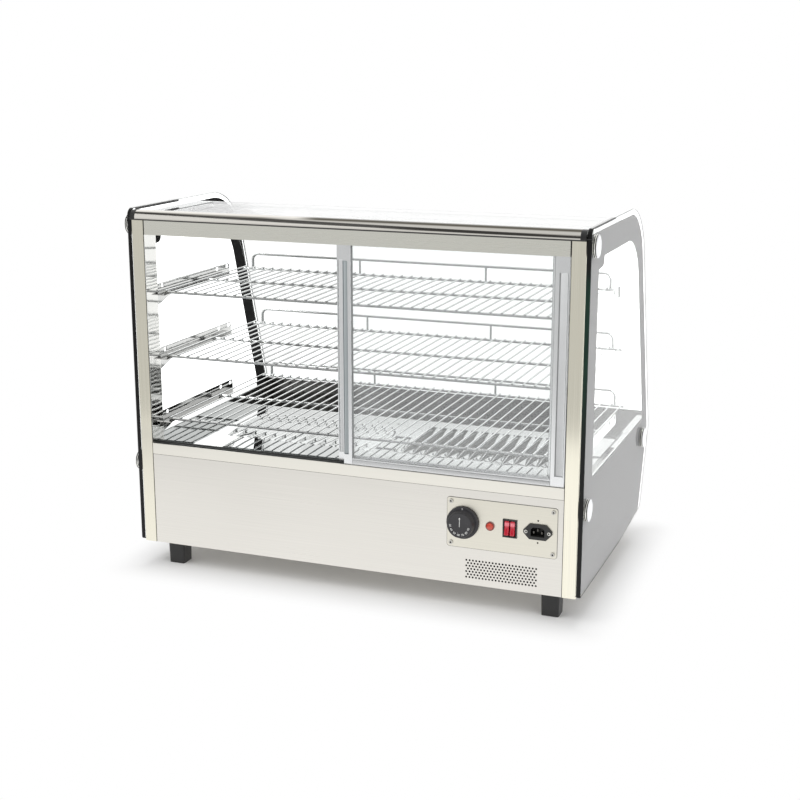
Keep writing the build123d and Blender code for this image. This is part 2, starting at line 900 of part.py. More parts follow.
# Deck: polished floor with louvres that open outwards on each side
deck_front_y = front_y(deck_top, band_inset) - deck_glass_gap
deck_half = half_span - deck_side_gap
deck_rear_y = sill_depth + deck_rear_gap
louvre_end = louvre_y + louvre_length
wall_x = half_span - wall_inset
louvre_count = int((wall_x - louvre_first - louvre_side_margin) / louvre_pitch)
deck_mid_y = (deck_rear_y + deck_front_y) / 2
notch_depth = post_depth + deck_post_gap - deck_rear_y
notch_width = deck_half - post_inner + deck_post_gap
louvres = [
    (side, side * (louvre_first + index * louvre_pitch))
    for side, hand in sides
    for index in range(louvre_count)
]
with BuildPart() as deck:
    with BuildSketch(Plane.XY.offset(deck_under)):
        with Locations((0, rear_y + deck_mid_y)):
            Rectangle(2 * deck_half, deck_front_y - deck_rear_y)
        with Locations(*[
            (side * (deck_half - notch_width / 2), rear_y + deck_rear_y + notch_depth / 2)
            for side, hand in sides
        ]):
            Rectangle(notch_width, notch_depth, mode=Mode.SUBTRACT)
        with Locations(*[
            (x + side * louvre_width / 2, rear_y + louvre_y + louvre_length / 2) for side, x in louvres
        ]):
            Rectangle(louvre_width, louvre_length, mode=Mode.SUBTRACT)
    extrude(amount=deck_sheet)
    with BuildSketch(back_plane(louvre_end)):
        for side, x in louvres:
            with BuildLine():
                Polyline(
                    (x, deck_under),
                    (x + side * louvre_width, deck_under + louvre_height),
                    (x + side * louvre_width, deck_top + louvre_height),
                    (x, deck_top),
                    close=True,
                )
            make_face()
    extrude(amount=louvre_length)
    for cap_y in (louvre_y + deck_sheet, louvre_end):
        with BuildSketch(back_plane(cap_y)):
            for side, x in louvres:
                with BuildLine():
                    Polyline(
                        (x, deck_under),
                        (x + side * louvre_width, deck_under),
                        (x + side * louvre_width, deck_top + louvre_height),
                        (x, deck_top),
                        close=True,
                    )
                make_face()
        extrude(amount=deck_sheet)
save(deck, "deck")

wall_top = deck_top + wall_height
wall_rear_y = post_depth + wall_rear_gap
wall_front_y = front_y(wall_top, band_inset) - wall_front_gap
for side, hand in sides:
    with BuildPart() as deck_wall:
        block(side * wall_x, side * (wall_x + wall_sheet), wall_rear_y, wall_front_y, deck_top, wall_top)
        block(side * wall_x, side * deck_half, wall_rear_y, wall_front_y, wall_top - wall_sheet, wall_top)
    save(deck_wall, f"deck_wall_{hand}")

# Control plate and its screws
screw_span_x = plate_width - 2 * plate_screw_inset
screw_span_z = plate_height - 2 * plate_screw_inset
dial_x = plate_x + dial_dx
dial_z = plate_z + dial_dz
lamp_x = plate_x + lamp_dx
switch_x = plate_x + switch_dx
inlet_x = plate_x + inlet_dx
switch_body_x = switch_width - 2 * switch_rim
switch_body_z = switch_height - 2 * switch_rim
with BuildPart() as control_plate:
    with BuildSketch(back_plane(plate_sheet)):
        with Locations((plate_x, plate_z)):
            RectangleRounded(plate_width, plate_height, plate_corner)
            with GridLocations(screw_span_x, screw_span_z, 2, 2):
                Circle((plate_screw + screw_play) / 2, mode=Mode.SUBTRACT)
        with Locations((dial_x, dial_z)):
            Circle(bushing_dia / 2 + bushing_play, mode=Mode.SUBTRACT)
        with Locations((lamp_x, plate_z)):
            Circle(lamp_body / 2 + panel_play, mode=Mode.SUBTRACT)
        with Locations((switch_x, plate_z)):
            Rectangle(switch_body_x + 2 * panel_play, switch_body_z + 2 * panel_play, mode=Mode.SUBTRACT)
        with Locations((inlet_x, plate_z)):
            Rectangle(inlet_body_x + 2 * panel_play, inlet_body_z + 2 * panel_play, mode=Mode.SUBTRACT)
            with GridLocations(inlet_screw_span, inlet_screw_span, 2, 1):
                Circle((inlet_screw + screw_play) / 2, mode=Mode.SUBTRACT)
            with GridLocations(spare_hole_dz, 2 * spare_hole_dz, 1, 2):
                Circle(spare_hole / 2, mode=Mode.SUBTRACT)
    extrude(amount=plate_sheet)
save(control_plate, "control_plate")

with BuildPart() as control_screws:
    with BuildSketch(back_plane(plate_screw_length)):
        with Locations((plate_x, plate_z)):
            with GridLocations(screw_span_x, screw_span_z, 2, 2):
                Circle(plate_screw / 2)
    extrude(amount=plate_screw_length)
    with BuildSketch(back_plane(0)):
        with Locations((plate_x, plate_z)):
            with GridLocations(screw_span_x, screw_span_z, 2, 2):
                Circle(plate_screw_head / 2)
    extrude(amount=plate_screw_crown)
    with BuildSketch(back_plane(screw_cross - plate_screw_crown)):
        with Locations((plate_x, plate_z)):
            with GridLocations(screw_span_x, screw_span_z, 2, 2):
                Rectangle(plate_screw, screw_cross)
                Rectangle(screw_cross, plate_screw)
    extrude(amount=screw_cross, mode=Mode.SUBTRACT)
save(control_screws, "control_screws")

# Thermostat: dial, spindle, body and probe
dial_axis = Axis((dial_x, 0, dial_z), (0, 1, 0))
bore = spindle_dia / 2 + spindle_play
skirt_rear = -(dial_gap + dial_skirt_thick)
with BuildPart() as thermostat_knob:
    with BuildSketch(Plane.XY.offset(dial_z)):
        with BuildLine():
            profile = [
                (bore, -dial_gap),
                (dial_skirt / 2, -dial_gap),
                (dial_skirt / 2, skirt_rear + dial_edge),
                (dial_skirt / 2 - dial_edge, skirt_rear),
                (dial_grip / 2, skirt_rear),
                (dial_grip / 2 - dial_edge / 2, -dial_reach + dial_edge),
                (dial_grip / 2 - 1.5 * dial_edge, -dial_reach),
                (0, -dial_reach),
                (0, -dial_reach + dial_wall),
                (bore, -dial_reach + dial_wall),
            ]
            Polyline(*[(dial_x + r, rear_y + y) for r, y in profile], close=True)
        make_face()
    revolve(axis=dial_axis)
    block(
        dial_x - dial_mark_width / 2,
        dial_x + dial_mark_width / 2,
        -dial_reach,
        -dial_reach + dial_mark_depth,
        dial_z + dial_grip / 6,
        dial_z + dial_grip / 2,
        Mode.SUBTRACT,
    )
save(thermostat_knob, "thermostat_knob")

with BuildPart() as thermostat_spindle:
    with BuildSketch(back_plane(spindle_depth)):
        with Locations((dial_x, dial_z)):
            Circle(spindle_dia / 2)
    extrude(amount=spindle_depth + dial_reach - dial_wall - spindle_end_gap)
save(thermostat_spindle, "thermostat_spindle")

thermostat_rear = plate_sheet + thermostat_depth
with BuildPart() as thermostat_body:
    block(
        dial_x - thermostat_size / 2,
        dial_x + thermostat_size / 2,
        plate_sheet,
        thermostat_rear,
        dial_z - thermostat_size / 2,
        dial_z + thermostat_size / 2,
    )
    with BuildSketch(back_plane(plate_sheet)):
        with Locations((dial_x, dial_z)):
            Circle(bushing_dia / 2)
    extrude(amount=plate_sheet)
    with BuildSketch(back_plane(spindle_depth + spindle_end_gap)):
        with Locations((dial_x, dial_z)):
            Circle(bore)
    extrude(amount=spindle_depth + spindle_end_gap, mode=Mode.SUBTRACT)
save(thermostat_body, "thermostat_body")

bulb_z = deck_under - bulb_gap - bulb_dia / 2
with BuildPart() as thermostat_probe:
    with BuildLine() as capillary_line:
        FilletPolyline(
            (dial_x, rear_y + thermostat_rear, dial_z),
            (dial_x, rear_y + thermostat_rear + probe_leg, dial_z),
            (dial_x, rear_y + thermostat_rear + probe_leg, bulb_z),
            (dial_x, rear_y + thermostat_rear + probe_leg + probe_run, bulb_z),
            radius=capillary_turn,
        )
    with BuildSketch(Plane(origin=capillary_line.line @ 0, z_dir=capillary_line.line % 0)):
        Circle(capillary / 2)
    sweep()
    with BuildSketch(Plane(origin=capillary_line.line @ 1, z_dir=capillary_line.line % 1)):
        Circle(bulb_dia / 2)
    extrude(amount=bulb_length)
save(thermostat_probe, "thermostat_probe")

# Pilot lamp
with BuildPart() as pilot_lamp:
    with BuildSketch(Plane.XY.offset(plate_z)):
        with BuildLine():
            lens_rear = rear_y - lamp_flange_thick
            Polyline(
                (lamp_x, lens_rear - lamp_dome),
                (lamp_x, rear_y + lamp_depth),
                (lamp_x + lamp_body / 2, rear_y + lamp_depth),
                (lamp_x + lamp_body / 2, rear_y),
                (lamp_x + lamp_flange / 2, rear_y),
                (lamp_x + lamp_flange / 2, lens_rear),
                (lamp_x + lamp_lens / 2, lens_rear),
            )
            EllipticalCenterArc((lamp_x, lens_rear), lamp_lens / 2, lamp_dome, start_angle=270, arc_size=90)
        make_face()
    revolve(axis=Axis((lamp_x, 0, plate_z), (0, 1, 0)))
save(pilot_lamp, "pilot_lamp")

# Double switch: frame and two rockers
pit_x = switch_body_x - 2 * switch_wall
pit_z = switch_body_z - 2 * switch_wall
with BuildPart() as rocker_frame:
    with BuildSketch(back_plane(switch_depth)):
        with Locations((switch_x, plate_z)):
            Rectangle(switch_body_x, switch_body_z)
    extrude(amount=switch_depth)
    with BuildSketch(back_plane(0)):
        with Locations((switch_x, plate_z)):
            Rectangle(switch_width, switch_height)
    extrude(amount=switch_flange)
    with BuildSketch(back_plane(switch_pit)):
        with Locations((switch_x, plate_z)):
            Rectangle(pit_x, pit_z)
    extrude(amount=switch_pit + switch_flange, mode=Mode.SUBTRACT)
save(rocker_frame, "rocker_frame")

rocker_width = (pit_x - 3 * rocker_gap) / 2
rocker_half = pit_z / 2 - rocker_end_gap
tilt = radians(rocker_tilt)
for side, rocker_name in ((-1, "heat_rocker"), (1, "light_rocker")):
    rocker_x = switch_x + side * (rocker_gap + rocker_width) / 2
    rocker_plane = Plane(
        origin=(rocker_x, rear_y + rocker_pivot, plate_z),
        x_dir=(0, cos(tilt), -sin(tilt)),
        z_dir=(1, 0, 0),
    )
    with BuildPart() as rocker:
        with BuildSketch(rocker_plane):
            with BuildLine():
                Polyline(
                    (-rocker_crown, rocker_half),
                    (-rocker_waist, 0),
                    (-rocker_crown, -rocker_half),
                    (0, -rocker_half),
                    (rocker_back, -rocker_half / 2),
                    (rocker_back, rocker_half / 2),
                    (0, rocker_half),
                    close=True,
                )
            make_face()
        extrude(amount=rocker_width / 2, both=True)
    save(rocker, rocker_name)

# Mains inlet with its pins and screws
inlet_pit_x = inlet_body_x - 2 * inlet_wall
inlet_pit_z = inlet_body_z - 2 * inlet_wall
with BuildPart() as mains_inlet:
    with BuildSketch(back_plane(inlet_depth)):
        with Locations((inlet_x, plate_z)):
            Rectangle(inlet_body_x, inlet_body_z)
    extrude(amount=inlet_depth)
    with BuildSketch(back_plane(0)):
        with BuildLine():
            Polyline(
                (inlet_x - inlet_flat / 2, plate_z + inlet_height / 2),
                (inlet_x + inlet_flat / 2, plate_z + inlet_height / 2),
                (inlet_x + inlet_length / 2, plate_z + inlet_tip / 2),
                (inlet_x + inlet_length / 2, plate_z - inlet_tip / 2),
                (inlet_x + inlet_flat / 2, plate_z - inlet_height / 2),
                (inlet_x - inlet_flat / 2, plate_z - inlet_height / 2),
                (inlet_x - inlet_length / 2, plate_z - inlet_tip / 2),
                (inlet_x - inlet_length / 2, plate_z + inlet_tip / 2),
                close=True,
            )
        make_face()
        with Locations((inlet_x, plate_z)):
            with GridLocations(inlet_screw_span, inlet_screw_span, 2, 1):
                Circle((inlet_screw + screw_play) / 2, mode=Mode.SUBTRACT)
    extrude(amount=inlet_flange)
    with BuildSketch(back_plane(inlet_pit)):
        with BuildLine():
            Polyline(
                (inlet_x - inlet_pit_x / 2, plate_z - inlet_pit_z / 2),
                (inlet_x + inlet_pit_x / 2, plate_z - inlet_pit_z / 2),
                (inlet_x + inlet_pit_x / 2, plate_z + inlet_pit_z / 2 - inlet_key),
                (inlet_x + inlet_pit_x / 2 - inlet_key, plate_z + inlet_pit_z / 2),
                (inlet_x - inlet_pit_x / 2 + inlet_key, plate_z + inlet_pit_z / 2),
                (inlet_x - inlet_pit_x / 2, plate_z + inlet_pit_z / 2 - inlet_key),
                close=True,
            )
        make_face()
    extrude(amount=inlet_pit + inlet_flange, mode=Mode.SUBTRACT)
save(mains_inlet, "mains_inlet")

with BuildPart() as inlet_pins:
    for column, pin_dz in ((-1, pin_live_dz), (0, pin_earth_dz), (1, pin_live_dz)):
        pin_x = inlet_x + column * pin_pitch
        pin_z = plate_z + pin_dz
        block(
            pin_x - pin_width / 2,
            pin_x + pin_width / 2,
            inlet_pit - pin_length,
            inlet_pit,
            pin_z - pin_height / 2,
            pin_z + pin_height / 2,
        )
save(inlet_pins, "inlet_pins")

with BuildPart() as inlet_screws:
    with BuildSketch(back_plane(inlet_screw_length - inlet_flange)):
        with Locations((inlet_x, plate_z)):
            with GridLocations(inlet_screw_span, inlet_screw_span, 2, 1):
                Circle(inlet_screw / 2)
    extrude(amount=inlet_screw_length)
    with BuildSketch(back_plane(-inlet_flange)):
        with Locations((inlet_x, plate_z)):
            with GridLocations(inlet_screw_span, inlet_screw_span, 2, 1):
                Circle(inlet_screw_head / 2)
    extrude(amount=inlet_screw_crown)
save(inlet_screws, "inlet_screws")

# Heaters under the louvres and the stands that carry them
heater_z = base_z + heater_rise
heater_last_y = flat_y - heater_fold_gap
leg_y = [heater_last_y - (heater_legs - 1 - leg) * heater_leg for leg in range(heater_legs)]
heater_turn = heater_leg / 2 - heater_turn_gap
for side, hand in sides:
    near_x = side * heater_x
    far_x = side * (heater_x + heater_length)
    heater_points = []
    for leg, y in enumerate(leg_y):
        start_x, stop_x = (near_x, far_x) if leg % 2 == 0 else (far_x, near_x)
        heater_points += [(start_x, rear_y + y), (stop_x, rear_y + y)]
    with BuildPart() as heater:
        with BuildLine(Plane.XY.offset(heater_z)) as heater_line:
            FilletPolyline(*heater_points, radius=heater_turn)
        with BuildSketch(Plane(origin=heater_line.line @ 0, z_dir=heater_line.line % 0)):
            Circle(heater_dia / 2)
        sweep()
    save(heater, f"heater_{hand}")

stand_foot = base_z + sheet
stand_top = heater_z + stand_edge
stand_rear_y = leg_y[0] - stand_edge
stand_front_y = leg_y[-1] + stand_edge
with BuildPart() as heater_stands:
    for side, hand in sides:
        for stand_x in (heater_x + stand_inset, heater_x + heater_length - stand_inset):
            with BuildSketch(skin_plane(side, stand_x, stand_sheet)):
                with BuildLine():
                    Polyline(
                        at(stand_rear_y, stand_foot),
                        at(stand_rear_y, stand_top),
                        at(stand_front_y, stand_top),
                        at(stand_front_y, stand_foot),
                        close=True,
                    )
                make_face()
                with Locations(*[at(y, heater_z) for y in leg_y]):
                    Circle(heater_dia / 2 + heater_play, mode=Mode.SUBTRACT)
            extrude(amount=stand_sheet)
save(heater_stands, "heater_stands")

# Lamp behind the header
holder_top = post_top - sheet
tube_z = holder_top - holder_width / 2
with BuildPart() as lamp_tube:
    with BuildSketch(Plane.YZ):
        with Locations(at(tube_y, tube_z)):
            Circle(tube_dia / 2)
    extrude(amount=tube_half, both=True)
save(lamp_tube, "lamp_tube")

with BuildPart() as lamp_holders:
    for side, hand in sides:
        holder_x = side * (tube_half - holder_grip)
        block(
            holder_x,
            holder_x + side * holder_thick,
            tube_y - holder_width / 2,
            tube_y + holder_width / 2,
            tube_z - tube_dia / 2 - holder_below,
            holder_top,
        )
        with BuildSketch(skin_plane(side, tube_half - holder_grip, holder_grip + tube_play)):
            with Locations(at(tube_y, tube_z)):
                Circle(tube_dia / 2 + tube_play)
        extrude(amount=holder_grip + tube_play, mode=Mode.SUBTRACT)
save(lamp_holders, "lamp_holders")

# Terminal block on the bottom of the base
with BuildPart() as terminal_block:
    block(
        terminal_x - terminal_length / 2,
        terminal_x + terminal_length / 2,
        terminal_y - terminal_width / 2,
        terminal_y + terminal_width / 2,
        stand_foot,
        stand_foot + terminal_height,
    )
    with BuildSketch(back_plane(terminal_y + terminal_width / 2)):
        with Locations((terminal_x, stand_foot + terminal_height / 2)):
            with GridLocations(terminal_length / terminal_ways, terminal_height, terminal_ways, 1):
                Circle(terminal_hole / 2)
    extrude(amount=terminal_width, mode=Mode.SUBTRACT)
save(terminal_block, "terminal_block")
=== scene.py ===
"""Looks of a heated display case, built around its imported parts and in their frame.

Lengths are in metres. +Z is up, +X is to the operator's right and +Y points to the customer.
Depths are counted from the rear face of the posts.
"""

import json
import logging
import math
from dataclasses import dataclass, field
from enum import Enum
from typing import Callable, Iterable, Mapping, Sequence

import bpy
import numpy as np
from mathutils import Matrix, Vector

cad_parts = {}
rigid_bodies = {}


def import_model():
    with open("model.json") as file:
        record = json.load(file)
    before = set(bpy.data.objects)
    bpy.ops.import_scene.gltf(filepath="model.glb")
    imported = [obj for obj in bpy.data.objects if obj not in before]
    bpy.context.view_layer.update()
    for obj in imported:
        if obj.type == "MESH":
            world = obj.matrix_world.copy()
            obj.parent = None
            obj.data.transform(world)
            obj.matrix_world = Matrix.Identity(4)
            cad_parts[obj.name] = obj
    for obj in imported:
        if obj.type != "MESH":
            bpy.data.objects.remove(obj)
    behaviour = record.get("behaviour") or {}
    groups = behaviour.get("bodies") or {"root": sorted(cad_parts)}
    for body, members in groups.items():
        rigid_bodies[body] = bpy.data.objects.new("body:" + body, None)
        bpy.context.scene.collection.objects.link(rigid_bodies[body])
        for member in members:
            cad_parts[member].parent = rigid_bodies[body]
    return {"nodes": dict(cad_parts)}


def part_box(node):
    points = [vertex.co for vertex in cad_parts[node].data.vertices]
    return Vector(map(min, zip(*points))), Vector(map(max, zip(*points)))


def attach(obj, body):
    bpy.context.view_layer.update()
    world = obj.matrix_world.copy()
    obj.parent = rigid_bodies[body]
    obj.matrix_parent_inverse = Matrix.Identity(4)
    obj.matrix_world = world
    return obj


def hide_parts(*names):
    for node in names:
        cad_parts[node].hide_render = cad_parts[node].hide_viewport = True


log = logging.getLogger("display_case")

MM = 0.001
Colour = tuple[float, float, float]
Point = tuple[float, float, float]
Pair = tuple[float, float]
WHITE: Colour = (1.0, 1.0, 1.0)


class Axis(Enum):
    """An axis of the model frame."""

    X = 0
    Y = 1
    Z = 2


def dimmed(colour: Colour, share: float) -> Colour:
    """Darken a colour.

    Args:
        colour: The colour.
        share: What is left of it.

    Returns:
        The colour with every part multiplied by the share.
    """
    return tuple(share * part for part in colour)


class Value:
    """A value in a node tree that takes part in arithmetic."""

    def __init__(self, tree: "Nodes", socket: bpy.types.NodeSocket) -> None:
        """Wrap a socket of a tree."""
        self.tree = tree
        self.socket = socket

    def __add__(self, other: "Value | float") -> "Value":
        """Add another value."""
        return self.tree.maths("ADD", self, other)

    __radd__ = __add__

    def __sub__(self, other: "Value | float") -> "Value":
        """Take another value away."""
        return self.tree.maths("SUBTRACT", self, other)

    def __rsub__(self, other: float) -> "Value":
        """Take this value away from a number."""
        return self.tree.maths("SUBTRACT", other, self)

    def __mul__(self, other: "Value | float") -> "Value":
        """Multiply by another value."""
        return self.tree.maths("MULTIPLY", self, other)

    __rmul__ = __mul__

    def __neg__(self) -> "Value":
        """Turn the sign round."""
        return self.tree.maths("MULTIPLY", self, -1.0)

    def __pow__(self, other: float) -> "Value":
        """Raise to a power."""
        return self.tree.maths("POWER", self, other)

    def __gt__(self, other: "Value | float") -> "Value":
        """Give 1 where this value is greater."""
        return self.tree.maths("GREATER_THAN", self, other)

    def __lt__(self, other: "Value | float") -> "Value":
        """Give 1 where this value is smaller."""
        return self.tree.maths("LESS_THAN", self, other)

    def __abs__(self) -> "Value":
        """Drop the sign."""
        return self.tree.maths("ABSOLUTE", self)

    def rise(self, low: float, high: float) -> "Value":
        """Go smoothly from 0 to 1 between two values.

        Args:
            low: Where the result is still 0.
            high: Where the result has reached 1.

        Returns:
            The eased value.
        """
        eased = self.tree.node(
            "ShaderNodeMapRange",
            {"interpolation_type": "SMOOTHSTEP"},
            {"Value": self, "From Min": low, "From Max": high},
        )
        return Value(self.tree, eased.outputs["Result"])

    def band(self, low: Pair, high: Pair) -> "Value":
        """Be 1 between two soft edges, each given by its start and end, and 0 beyond them."""
        return self.rise(*low) * (1.0 - self.rise(*high))


class Nodes:
    """A node tree that is filled from code."""

    def __init__(self, tree: bpy.types.NodeTree) -> None:
        """Take over a tree and empty it."""
        self.tree = tree
        self.tree.nodes.clear()

    def node(
        self,
        kind: str,
        settings: Mapping[str, object] | None = None,
        sockets: Mapping[str | int, object] | None = None,
    ) -> bpy.types.Node:
        """Add a node.

        Args:
            kind: Type of the node.
            settings: Properties of the node.
            sockets: Values or links of its inputs, by name or number. A colour has three parts.

        Returns:
            The new node.
        """
        made = self.tree.nodes.new(kind)
        for key, value in (settings or {}).items():
            setattr(made, key, value)
        for key, value in (sockets or {}).items():
            entry = made.inputs[key]
            if isinstance(value, Value):
                value = value.socket
            if isinstance(value, bpy.types.NodeSocket):
                self.tree.links.new(value, entry)
            elif entry.type == "RGBA":
                entry.default_value = (*value, 1.0)
            else:
                entry.default_value = value
        return made

    def maths(self, operation: str, *values: "Value | float") -> Value:
        """Add a Math node with its inputs in order and give its result."""
        made = self.node("ShaderNodeMath", {"operation": operation}, dict(enumerate(values)))
        return Value(self, made.outputs["Value"])

    def parts(self, output: str) -> tuple[Value, Value, Value]:
        """Take a texture coordinate apart.

        Args:
            output: Name of the coordinate.

        Returns:
            Its three parts.
        """
        coordinates = self.node("ShaderNodeTexCoord")
        split = self.node("ShaderNodeSeparateXYZ", sockets={"Vector": coordinates.outputs[output]})
        return tuple(Value(self, split.outputs[name]) for name in "XYZ")

    def place(self) -> tuple[Value, Value, Value]:
        """Give the three coordinates of the shaded point in the model frame."""
        return self.parts("Object")

    def facing(self) -> tuple[Value, Value, Value]:
        """Give the three parts of the surface normal in the model frame."""
        return self.parts("Normal")

    def noise(self, stretch: Point, detail: float = 2.0) -> Value:
        """Sample a noise.

        Args:
            stretch: Waves per metre along each axis.
            detail: Octaves of the noise.

        Returns:
            A value around 0.5.
        """
        coordinates = self.node("ShaderNodeTexCoord")
        scaled = self.node(
            "ShaderNodeMapping", sockets={"Vector": coordinates.outputs["Object"], "Scale": stretch}
        )
        made = self.node(
            "ShaderNodeTexNoise", sockets={"Vector": scaled.outputs["Vector"], "Scale": 1.0, "Detail": detail}
        )
        return Value(self, made.outputs["Fac"])

    def blend(self, amount: Value, low: Colour | Value, high: Colour | Value) -> Value:
        """Mix two colours, from the low one at 0 to the high one at 1."""
        mixed = self.node("ShaderNodeMix", {"data_type": "RGBA"}, {0: amount, 6: low, 7: high})
        return Value(self, mixed.outputs[2])

    def bump(self, height: Value, depth: float) -> bpy.types.NodeSocket:
        """Turn a height between 0 and 1 into a normal, for a relief of this depth."""
        made = self.node("ShaderNodeBump", sockets={"Height": height, "Distance": depth})
        return made.outputs["Normal"]

    def grazing(self, straight_on: float) -> Value:
        """Give the reflected share of a clear face, which grows with the fifth power to a grazing view."""
        weight = self.node("ShaderNodeLayerWeight", sockets={"Blend": 0.5})
        return straight_on + (1.0 - straight_on) * Value(self, weight.outputs["Facing"]) ** 5.0

    def shader(self, kind: str, **sockets: object) -> bpy.types.NodeSocket:
        """Add a shader with the given inputs, where underscores stand for spaces in their names."""
        inputs = {name.replace("_", " "): value for name, value in sockets.items()}
        return self.node(kind, sockets=inputs).outputs[0]

    def principled(self, **sockets: object) -> bpy.types.NodeSocket:
        """Add a Principled shader with the given inputs."""
        return self.shader("ShaderNodeBsdfPrincipled", **sockets)

    def mix(
        self, amount: Value | float, low: bpy.types.NodeSocket, high: bpy.types.NodeSocket
    ) -> bpy.types.NodeSocket:
        """Mix two shaders, from the first at 0 to the second at 1."""
        return self.node("ShaderNodeMixShader", sockets={0: amount, 1: low, 2: high}).outputs["Shader"]


@dataclass(frozen=True)
class Finish:
    """A surface finish that is made into a material."""

    name: str

    def shade(self, nodes: Nodes) -> bpy.types.NodeSocket:
        """Fill the node tree of the material and give the shader of the surface."""
        raise NotImplementedError

    def material(self) -> bpy.types.Material:
        """Make the material, or give the one that was made before.

        Returns:
            The material.
        """
        if self in MATERIALS:
            return MATERIALS[self]
        made = MATERIALS[self] = bpy.data.materials.new(f"{self.name}_look")
        made.use_nodes = True
        nodes = Nodes(made.node_tree)
        surface = self.shade(nodes)
        nodes.node("ShaderNodeOutputMaterial", sockets={"Surface": surface})
        return made


@dataclass(frozen=True)
class BrushedSteel(Finish):
    """Steel sheet with a fine grain along one axis."""

    colour: Colour = (0.73, 0.71, 0.665)
    fade: float = 0.94
    grain: Axis = Axis.X
    waves: Pair = (4.0, 900.0)
    roughness: float = 0.3
    spread: float = 0.1
    relief: float = 0.00002

    def streaks(self, nodes: Nodes) -> Value:
        """Give a noise around 0.5 that is drawn out along the grain."""
        along, across = self.waves
        return nodes.noise(tuple(along if axis is self.grain else across for axis in Axis), 3.0)

    def sheet(self, nodes: Nodes, streak: Value) -> Value:
        """Give the colour of the sheet, a little darker along part of the streaks."""
        return nodes.blend(streak.rise(0.25, 0.75), dimmed(self.colour, self.fade), self.colour)

    def shade(self, nodes: Nodes) -> bpy.types.NodeSocket:
        """Shade the grain, with wide clouds in the roughness.

        Args:
            nodes: The empty tree.

        Returns:
            The shader of the surface.
        """
        streak = self.streaks(nodes)
        cloud = nodes.noise((7.0, 7.0, 7.0), 2.0)
        return nodes.principled(
            Base_Color=self.sheet(nodes, streak),
            Metallic=1.0,
            Roughness=self.roughness + self.spread * (streak - 0.5) + 0.5 * self.spread * (cloud - 0.5),
            Normal=nodes.bump(streak, self.relief),
        )


@dataclass(frozen=True)
class BaseSteel(BrushedSteel):
    """Brushed sheet of the base, painted near-black as painted shade on the inside and in its holes."""

    skin: float = -0.25885
    reach: float = 0.03
    floor: float = 0.0486
    half: float = 0.4119
    dark: Colour = (0.01, 0.01, 0.01)

    def shade(self, nodes: Nodes) -> bpy.types.NodeSocket:
        """Shade the sheet, and paint a dull near-black surface of painted shade within the box of the base.

        Args:
            nodes: The empty tree.

        Returns:
            The shader of the surface.
        """
        x, y, z = nodes.place()
        # Painted shade: the inside of the base and the walls of its vent holes are painted near-black.
        inside = (y > self.skin) * (y < self.reach) * (z > self.floor) * (abs(x) < self.half)
        shadow = nodes.principled(Base_Color=self.dark, Roughness=0.6)
        return nodes.mix(inside, super().shade(nodes), shadow)


@dataclass(frozen=True)
class SillSteel(BrushedSteel):
    """Steel of the sill: a brushed lip, with painted shade in the seam below it and in the door track behind
    it.
    """

    colour: Colour = (0.8, 0.78, 0.715)
    track: Colour = (0.07, 0.072, 0.07)
    line: Colour = (0.09, 0.08, 0.065)
    lip_y: float = -0.2577
    seam_z: float = 0.2196
    dulling: float = 0.15

    def shade(self, nodes: Nodes) -> bpy.types.NodeSocket:
        """Shade the lip, and paint the seam and the track dark as painted shade.

        Args:
            nodes: The empty tree.

        Returns:
            The shader of the surface.
        """
        x, y, z = nodes.place()
        streak = self.streaks(nodes)
        # Painted shade: the seam under the lip and the door track behind it are painted dark and dull.
        seam = z < self.seam_z
        dark = 1.0 - (1.0 - (y > self.lip_y)) * (1.0 - seam)
        return nodes.principled(
            Base_Color=nodes.blend(dark, self.colour, nodes.blend(seam, self.track, self.line)),
            Metallic=1.0 - dark,
            Roughness=self.roughness + self.spread * (streak - 0.5) + self.dulling * dark,
            Normal=nodes.bump(streak, self.relief),
        )


@dataclass(frozen=True)
class PlateSteel(BrushedSteel):
    """Steel of the control plate, with a dark line of painted shade along its edge."""

    colour: Colour = (0.73, 0.705, 0.62)
    fade: float = 0.95
    waves: Pair = (5.0, 700.0)
    roughness: float = 0.34
    edge: Colour = (0.1, 0.095, 0.085)
    middle: Pair = (0.0, 0.0)
    half: Pair = (0.1, 0.1)
    corner: float = 0.005
    line: float = 0.0005

    def shade(self, nodes: Nodes) -> bpy.types.NodeSocket:
        """Shade the plate, and paint a dark line of shade where a point is nearly a corner's radius from its
        core.

        Args:
            nodes: The empty tree.

        Returns:
            The shader of the surface.
        """
        x, y, z = nodes.place()
        streak = self.streaks(nodes)
        over_x = nodes.maths("MAXIMUM", abs(x - self.middle[0]) - (self.half[0] - self.corner), 0.0)
        over_z = nodes.maths("MAXIMUM", abs(z - self.middle[1]) - (self.half[1] - self.corner), 0.0)
        # Painted shade: the gap round the plate's edge is painted as a dark line.
        rim = (over_x**2.0 + over_z**2.0) ** 0.5 > self.corner - self.line
        return nodes.principled(
            Base_Color=nodes.blend(rim, self.sheet(nodes, streak), self.edge),
            Metallic=1.0,
            Roughness=self.roughness + self.spread * (streak - 0.5),
            Normal=nodes.bump(streak, self.relief),
        )


@dataclass(frozen=True)
class HeaderSteel(BrushedSteel):
    """Brushed strip with painted shade in the joint at each end."""

    colour: Colour = (0.79, 0.785, 0.715)
    fade: float = 0.97
    roughness: float = 0.28
    gap: Colour = (0.06, 0.058, 0.05)
    half: float = 0.389
    joint: float = 0.0011

    def shade(self, nodes: Nodes) -> bpy.types.NodeSocket:
        """Shade the strip, and paint its joints dark as painted shade.

        Args:
            nodes: The empty tree.

        Returns:
            The shader of the surface.
        """
        x, y, z = nodes.place()
        streak = self.streaks(nodes)
        # Painted shade: the ends that meet the posts are painted dark.
        seam = abs(x) > self.half - self.joint
        return nodes.principled(
            Base_Color=nodes.blend(seam, self.sheet(nodes, streak), self.gap),
            Metallic=1.0,
            Roughness=self.roughness + self.spread * (streak - 0.5),
            Normal=nodes.bump(streak, self.relief),
        )


